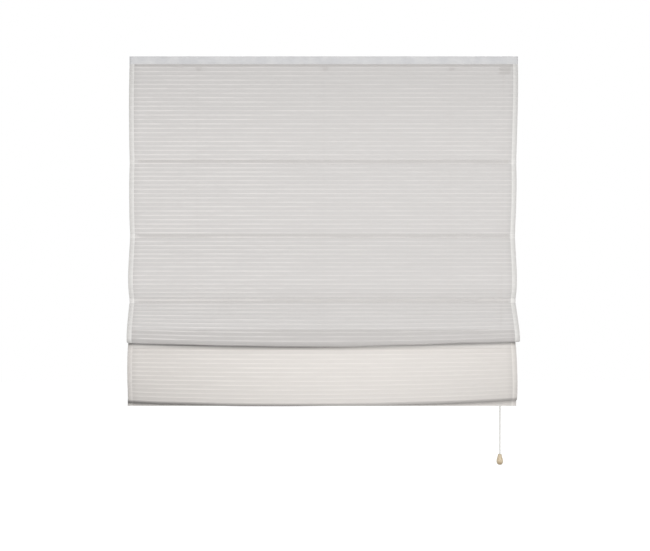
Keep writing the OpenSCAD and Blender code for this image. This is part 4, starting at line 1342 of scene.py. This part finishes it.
# %% Cord routes
cord_diameter = 1.4 * mm
cord_step = 6 * mm
turn_points = 14
lane_lead = 60 * mm
side_run = 7 * mm
lock_cord_gap = 2.2 * mm
strand_gap = 1.9 * mm
strand_lead = 60 * mm
strand_tie = 10 * mm
knot_reach = 2.6 * mm
groove_radius = 4.4 * mm
turn_radius = groove_radius + pass_gap + cord_diameter / 2
acorn_x = (acorn_low.x + acorn_high.x) / 2
strand_end = (acorn_low.z + acorn_high.z) / 2
ring_low, ring_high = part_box("rings_bottom")
ring_z = (ring_low.z + ring_high.z) / 2
cord_lanes = {"left": -1, "centre": 1, "right": 0}
joint_places = {joint["child"]: np.array(joint["pos_m"]) for joint in frame["joints"]}
lock_axle = joint_places["lock_wheel"]


def steps(start, end):
    """Even places from start to end, about one cord step apart, without the end."""
    return np.linspace(start, end, max(2, int(abs(end - start) / cord_step)), endpoint=False)


def quarter_turn(axle, y, start):
    """A quarter circle over a wheel in the XZ plane, clockwise from the start angle."""
    angle = np.radians(start - np.linspace(0, 90, turn_points))
    return np.stack([axle[0] + turn_radius * np.cos(angle), y + 0 * angle,
                     axle[2] + turn_radius * np.sin(angle)], axis=-1)


def cord_path(name, lane):
    """The whole way of one lift cord: climb, turn, run in its lane, turn, hang."""
    axle = joint_places[f"guide_wheel_{name}"]
    lock_y = axle[1] + lane * lock_cord_gap
    z = steps(ring_z + knot_reach, axle[2])
    climb = np.stack([axle[0] - turn_radius + 0 * z, axle[1] + 0 * z, z], axis=-1)
    x = steps(axle[0], lock_axle[0])[1:]
    to_side = smooth_step(x, axle[0], axle[0] + lane_lead)
    to_lock = smooth_step(x, lock_axle[0] - lane_lead, lock_axle[0])
    y = axle[1] + lane * (side_run * to_side * (1 - to_lock) + lock_cord_gap * to_lock)
    run = np.stack([x, y, axle[2] + turn_radius + 0 * x], axis=-1)
    strand_x = acorn_x + lane * strand_gap
    z = np.append(steps(lock_axle[2], strand_end)[1:], strand_end)
    share = smooth_step(z, acorn_high.z + strand_tie, lock_axle[2] - strand_lead)
    hang_x = strand_x + (lock_axle[0] + turn_radius - strand_x) * share
    hang = np.stack([hang_x, axle[1] + (lock_y - axle[1]) * share, z], axis=-1)
    over_guide, over_lock = quarter_turn(axle, axle[1], 180), quarter_turn(lock_axle, lock_y, 90)
    return np.concatenate([climb, over_guide, run, over_lock, hang])


cord_paths = {name: cord_path(name, lane) for name, lane in cord_lanes.items()}


# %% [markdown]
# A cord is a round section carried along its path. A bevelled curve would twist where the path turns, so
# each ring of points is set square to the path and turned to one fixed direction, which keeps the braid
# straight. The weave attribute counts the place round the cord and the length along it.

# %% Cord tubes
cord_sides = 12
back_way = np.array([0.0, 1.0, 0.0])


def tube(path, radius, sides, reference, closed=False):
    """Rings square to the path, turned to the reference way, with the place round and along each."""
    ahead = np.roll(path, -1, axis=0) - np.roll(path, 1, axis=0) if closed else np.gradient(path, axis=0)
    way = unit(ahead)
    first = unit(reference - np.sum(way * reference, axis=-1, keepdims=True) * way)
    second = np.cross(way, first)
    angle = np.linspace(0, 2 * np.pi, sides, endpoint=False)
    circle = np.cos(angle)[:, None] * first[:, None] + np.sin(angle)[:, None] * second[:, None]
    weave = np.stack(np.broadcast_arrays(angle / (2 * np.pi), running_length(path)[:, None], 0.0), axis=-1)
    return path[:, None] + radius * circle, weave


for name, path in cord_paths.items():
    rings, weave = tube(path, cord_diameter / 2, cord_sides, back_way)
    faces = tube_faces(len(path), cord_sides)
    new_piece(f"cord_{name}", rings, faces, cord_braid, weave)
    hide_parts(f"lift_cord_{name}")


# %% [markdown]
# The acorn is turned on a lathe, so its surface is one outline swept round an axis. A Screw modifier
# would sweep it too, but the grid is ready at once from the outline and a circle. The outline starts at
# the cord hole, goes over neck and belly with the faint lines that a tool leaves, and comes back up
# inside, where the knot sits.

# %% Acorn
acorn_radius = (acorn_high.x - acorn_low.x) / 2
acorn_height = acorn_high.z - acorn_low.z
acorn_y = (acorn_low.y + acorn_high.y) / 2
neck_share = 0.58
belly_share = 0.32
foot_share = 0.55
room_radius = 4.3 * mm
room_share = 0.5
cord_hole_radius = strand_gap + cord_diameter / 2 + pass_gap
acorn_rows = 60
acorn_sides = 64
edge_round = 0.8 * mm
lathe_depth = 0.05 * mm
lathe_lines = 26


def acorn_outline():
    """(radius, depth below the top) of the outside: a sine-squared neck and an elliptic belly."""
    t = np.linspace(0, 1, acorn_rows)
    neck = neck_share + (1 - neck_share) * np.sin(np.pi / 2 * t / (1 - belly_share)) ** 2
    drop = (t - 1 + belly_share) / belly_share
    foot = np.sqrt(np.maximum(1 - (1 - foot_share ** 2) * drop ** 2, 0))
    r = acorn_radius * np.where(t < 1 - belly_share, neck, foot)
    r = r - lathe_depth * (1 - np.cos(2 * np.pi * lathe_lines * t)) / 2
    ends = np.minimum(t, 1 - t) * acorn_height
    r = r - edge_round * (1 - np.sqrt(1 - (1 - np.minimum(ends / edge_round, 1)) ** 2))
    return np.stack([r, acorn_height * t], axis=-1)


room_top = room_share * acorn_height
inside_radii = [room_radius, room_radius, cord_hole_radius, cord_hole_radius]
inside = np.stack([inside_radii, [acorn_height, room_top, room_top, 0.0]], axis=-1)
acorn_profile = np.concatenate([acorn_outline(), inside])
acorn_r, acorn_depth = acorn_profile[:, :1], acorn_profile[:, 1:]
acorn_angle = np.linspace(0, 2 * np.pi, acorn_sides, endpoint=False)
acorn_points = np.stack(np.broadcast_arrays(
    acorn_x + acorn_r * np.cos(acorn_angle), acorn_y + acorn_r * np.sin(acorn_angle),
    acorn_high.z - acorn_depth), axis=-1)
acorn_faces = quads_of(len(acorn_profile), acorn_sides, wrap_rows=True, wrap_columns=True)
acorn = new_piece("turned_acorn", acorn_points, acorn_faces, pale_wood)
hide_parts("acorn")
print("acorn:", len(acorn.data.polygons), "faces")


# %% [markdown]


# %% [markdown]
# Each cord is wrapped three times round its bottom ring and tied. A real knot would be a long list of
# points, and nobody would see how it is tied, so the wraps are a helix round the wire of the ring, in the
# cord's own finish.

# %% Knots
wrap_turns = 3
wrap_pitch = 1.5 * mm
wrap_points = 60
wrap_sides = 8
ring_wire = 2 * mm
lift_xs = [joint_places[f"guide_wheel_{name}"][0] - turn_radius for name in cord_lanes]


def joined(tubes):
    """Points, faces and weave of several tubes as one mesh."""
    points, faces, weaves, count = [], [], [], 0
    for rings, weave, corners in tubes:
        points.append(rings.reshape(-1, 3))
        weaves.append(weave.reshape(-1, 3))
        faces += [[c + count for c in face] for face in corners]
        count += rings.shape[0] * rings.shape[1]
    return np.concatenate(points), faces, np.concatenate(weaves)


def knot_tube(x):
    """A helix of three turns round the ring's wire, which runs along Y there."""
    t = np.linspace(0, 1, wrap_points)
    angle = 2 * np.pi * wrap_turns * t
    out = np.stack([np.sin(angle), 0 * t, np.cos(angle)], axis=-1)
    along_wire = (wrap_pitch * wrap_turns * (t - 0.5))[:, None] * back_way
    middle = np.array([x, joint_places["guide_wheel_left"][1], ring_z])
    path = middle + along_wire + (ring_wire + cord_diameter) / 2 * out
    rings, weave = tube(path, cord_diameter / 2, wrap_sides, out)
    return rings, weave, tube_faces(wrap_points, wrap_sides)


knot_shape, knot_faces, knot_weave = joined([knot_tube(x) for x in lift_xs])
knots = new_piece("cord_wraps", knot_shape, knot_faces, cord_braid, knot_weave)
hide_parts("ring_knots")
print("knots:", len(knots.data.polygons), "faces")


# %% [markdown]
# Every ring is whipped to its tape with thread. One lump for each ring would hide the wire, and a real
# whipping is a few turns side by side, so three closed rings of thread go round the wire and into the
# tape. The bottom rings sit a little to the left, so that the cord can be tied to the side of the wire.

# %% Ring whipping
whip_thread = 0.5 * mm
whip_offsets = (-0.9 * mm, 0.0, 0.9 * mm)
whip_radius = 1.45 * mm
whip_shift = 0.35 * mm
whip_points = 18
whip_sides = 6


def whip_tube(x, y, z):
    """A closed ring of thread in the YZ plane at x, round the ring's wire and into the tape."""
    angle = np.linspace(0, 2 * np.pi, whip_points, endpoint=False)
    out = np.stack([0 * angle, np.cos(angle), np.sin(angle)], axis=-1)
    path = np.array([x, y, z]) + whip_radius * out
    rings, weave = tube(path, whip_thread / 2, whip_sides, out, closed=True)
    return rings, weave, tube_faces(whip_points, whip_sides, closed=True)


ring_boxes = [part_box(f"rings_{i}") for i in rod_numbers]
ring_radius = (ring_boxes[0][1].y - ring_boxes[0][0].y - ring_wire) / 2
wire_places = [(x, low.y, (low.z + high.z) / 2) for low, high in ring_boxes for x in lift_xs]
wire_places += [(x - ring_radius, ring_low.y, ring_z) for x in lift_xs]
whip_back = ring_wire / 2 - whip_shift
whips = [whip_tube(x + dx, y + whip_back, z) for x, y, z in wire_places for dx in whip_offsets]
whip_shape, whip_faces, whip_weave = joined(whips)
whipping = new_piece("ring_whipping", whip_shape, whip_faces, thread_weave, whip_weave)
print("whipping:", len(whips), "rings of thread,", len(whipping.data.polygons), "faces")


# %% [markdown]
# The rest of the blind keeps its CAD shape, and only its finish changes. Each part could be set by
# itself, but a table from finish to parts keeps the list short, and the print at the end shows that no
# part was forgotten.

# %% Finishes on the CAD parts
finish_nodes = [
    (rail_coat, ["headrail"]),
    (white_plastic, ["end_cap_left", "end_cap_right", "hook_tape", "rings_bottom"]),
    (white_plastic, ["cord_lock", "lock_wheel"]),
    (white_plastic, [f"rings_{i}" for i in rod_numbers]),
    (white_plastic, [f"{part}_{name}" for part in ("guide", "guide_wheel") for name in cord_lanes]),
    (white_plastic, ["swivel_clip_left", "swivel_clip_right"]),
    (rod_plastic, [f"rod_{i}" for i in rod_numbers]),
    (tape_weave, [f"pocket_tape_{i}" for i in rod_numbers]),
    (loop_pile, ["loop_tape"]),
    (bar_alloy, ["bottom_bar"]),
    (cord_braid, ["acorn_knot"]),
    (zinc, ["guide_axles", "lock_pins", "lock_pawl", "clip_rivets"]),
    (enamel, ["bracket_left", "bracket_right"]),
]
finished = {"cloth", "heading_band", "acorn", "ring_knots"} | {f"lift_cord_{name}" for name in cord_lanes}
for finish, names in finish_nodes:
    for name in names:
        nodes[name].data.materials.clear()
        nodes[name].data.materials.append(finish)
    finished.update(names)
print("nodes without a finish:", sorted(set(nodes) - finished))


# %% [markdown]
# Pale cloth needs broad, soft light. A sun would draw hard lines under every rib, so large square lamps
# do the work: a key level with the blind, almost straight in front of it, a weak fill at its right, and a
# lamp behind it, for views of the back.

# %% Lights
key_place = (-0.15, -3.3, -0.5)
key_watts = 51.0
key_size = 2.4
fill_place = (1.6, -2.6, -0.2)
fill_watts = 8.0
fill_size = 2.0
back_place = (0.3, 2.6, 0.7)
back_watts = 30.0
back_size = 2.5
light_aim = (0.0, -0.05, -0.55)


def area_light(name, place, watts, size):
    """A square soft light at a place, turned to the middle of the blind."""
    lamp = bpy.data.lights.new(name, "AREA")
    lamp.energy = watts
    lamp.size = size
    light = bpy.data.objects.new(name, lamp)
    light.location = place
    aim = Vector(light_aim) - Vector(place)
    light.rotation_euler = aim.to_track_quat("-Z", "Y").to_euler()
    bpy.context.scene.collection.objects.link(light)


area_light("key", key_place, key_watts, key_size)
area_light("fill", fill_place, fill_watts, fill_size)
area_light("back", back_place, back_watts, back_size)
print("lights:", key_watts, fill_watts, back_watts, "watts")


# %% [markdown]
# The blind is shown against plain white, with even light from all round. One white world would do both,
# but it would also drown the folds in light. A Light Path node tells rays that are seen from rays that
# light things, so the surround looks white and yet lights the blind at a lower level.

# %% Surround
surround_light = 0.54
white_colour = rgba((1, 1, 1))


def seen_ray(tree):
    """1 for rays from the camera, in reflections and through glass, and 0 for light on other things."""
    path = add_node(tree, "ShaderNodeLightPath")
    seen = calc(tree, "MAXIMUM", path.outputs["Is Camera Ray"], path.outputs["Is Glossy Ray"])
    return calc(tree, "MAXIMUM", seen, path.outputs["Is Transmission Ray"])


def pick_by_ray(tree, for_light, for_view, output):
    """Feeds one shader to the output for rays that light things, and another for rays that are seen."""
    pick = add_node(tree, "ShaderNodeMixShader")
    for socket, value in zip(pick.inputs, (seen_ray(tree), for_light, for_view)):
        feed(tree, socket, value)
    feed(tree, tree.nodes[output].inputs["Surface"], pick.outputs[0])


world = bpy.data.worlds.new("surround")
bpy.context.scene.world = world
world.use_nodes = True
tree = world.node_tree
plain = tree.nodes["Background"]
plain.inputs["Strength"].default_value = surround_light
plain.inputs["Color"].default_value = white_colour
white = add_node(tree, "ShaderNodeBackground")
white.inputs["Color"].default_value = white_colour
pick_by_ray(tree, plain.outputs[0], white.outputs[0], "World Output")
print("surround: lights at", surround_light)


# %% [markdown]
# A pale floor lies well below the acorn, so that views from above have a ground. A plain white floor
# would look grey beside the surround. So the camera sees a dim floor with a glow added, which is white
# and keeps a soft shadow, and other rays meet an ordinary pale floor.

# %% Floor
floor_drop = 0.34
floor_half = 5.0
floor_colour = rgba((0.8, 0.8, 0.8))
floor_dim_colour = rgba((0.3, 0.3, 0.3))
floor_glow = 0.9
floor_z = acorn_low.z - floor_drop

floor_mesh = bpy.data.meshes.new("floor")
floor_corners = floor_half * np.array([[-1, -1, 0], [1, -1, 0], [1, 1, 0], [-1, 1, 0]]) + [0, 0, floor_z]
floor_mesh.from_pydata(floor_corners.tolist(), [], [[0, 1, 2, 3]])
floor = bpy.data.objects.new("floor", floor_mesh)
bpy.context.scene.collection.objects.link(floor)

floor_finish = bpy.data.materials.new("pale_floor")
floor_finish.use_nodes = True
tree = floor_finish.node_tree
tree.nodes.remove(tree.nodes["Principled BSDF"])
lit = add_node(tree, "ShaderNodeBsdfDiffuse")
lit.inputs["Color"].default_value = floor_colour
dim = add_node(tree, "ShaderNodeBsdfDiffuse")
dim.inputs["Color"].default_value = floor_dim_colour
glow = add_node(tree, "ShaderNodeEmission")
glow.inputs["Strength"].default_value = floor_glow
seen_floor = add_node(tree, "ShaderNodeAddShader")
feed(tree, seen_floor.inputs[0], dim.outputs[0])
feed(tree, seen_floor.inputs[1], glow.outputs[0])
pick_by_ray(tree, lit.outputs[0], seen_floor.outputs[0], "Material Output")
floor_mesh.materials.append(floor_finish)
print("floor at", round(floor_z, 3), "m")
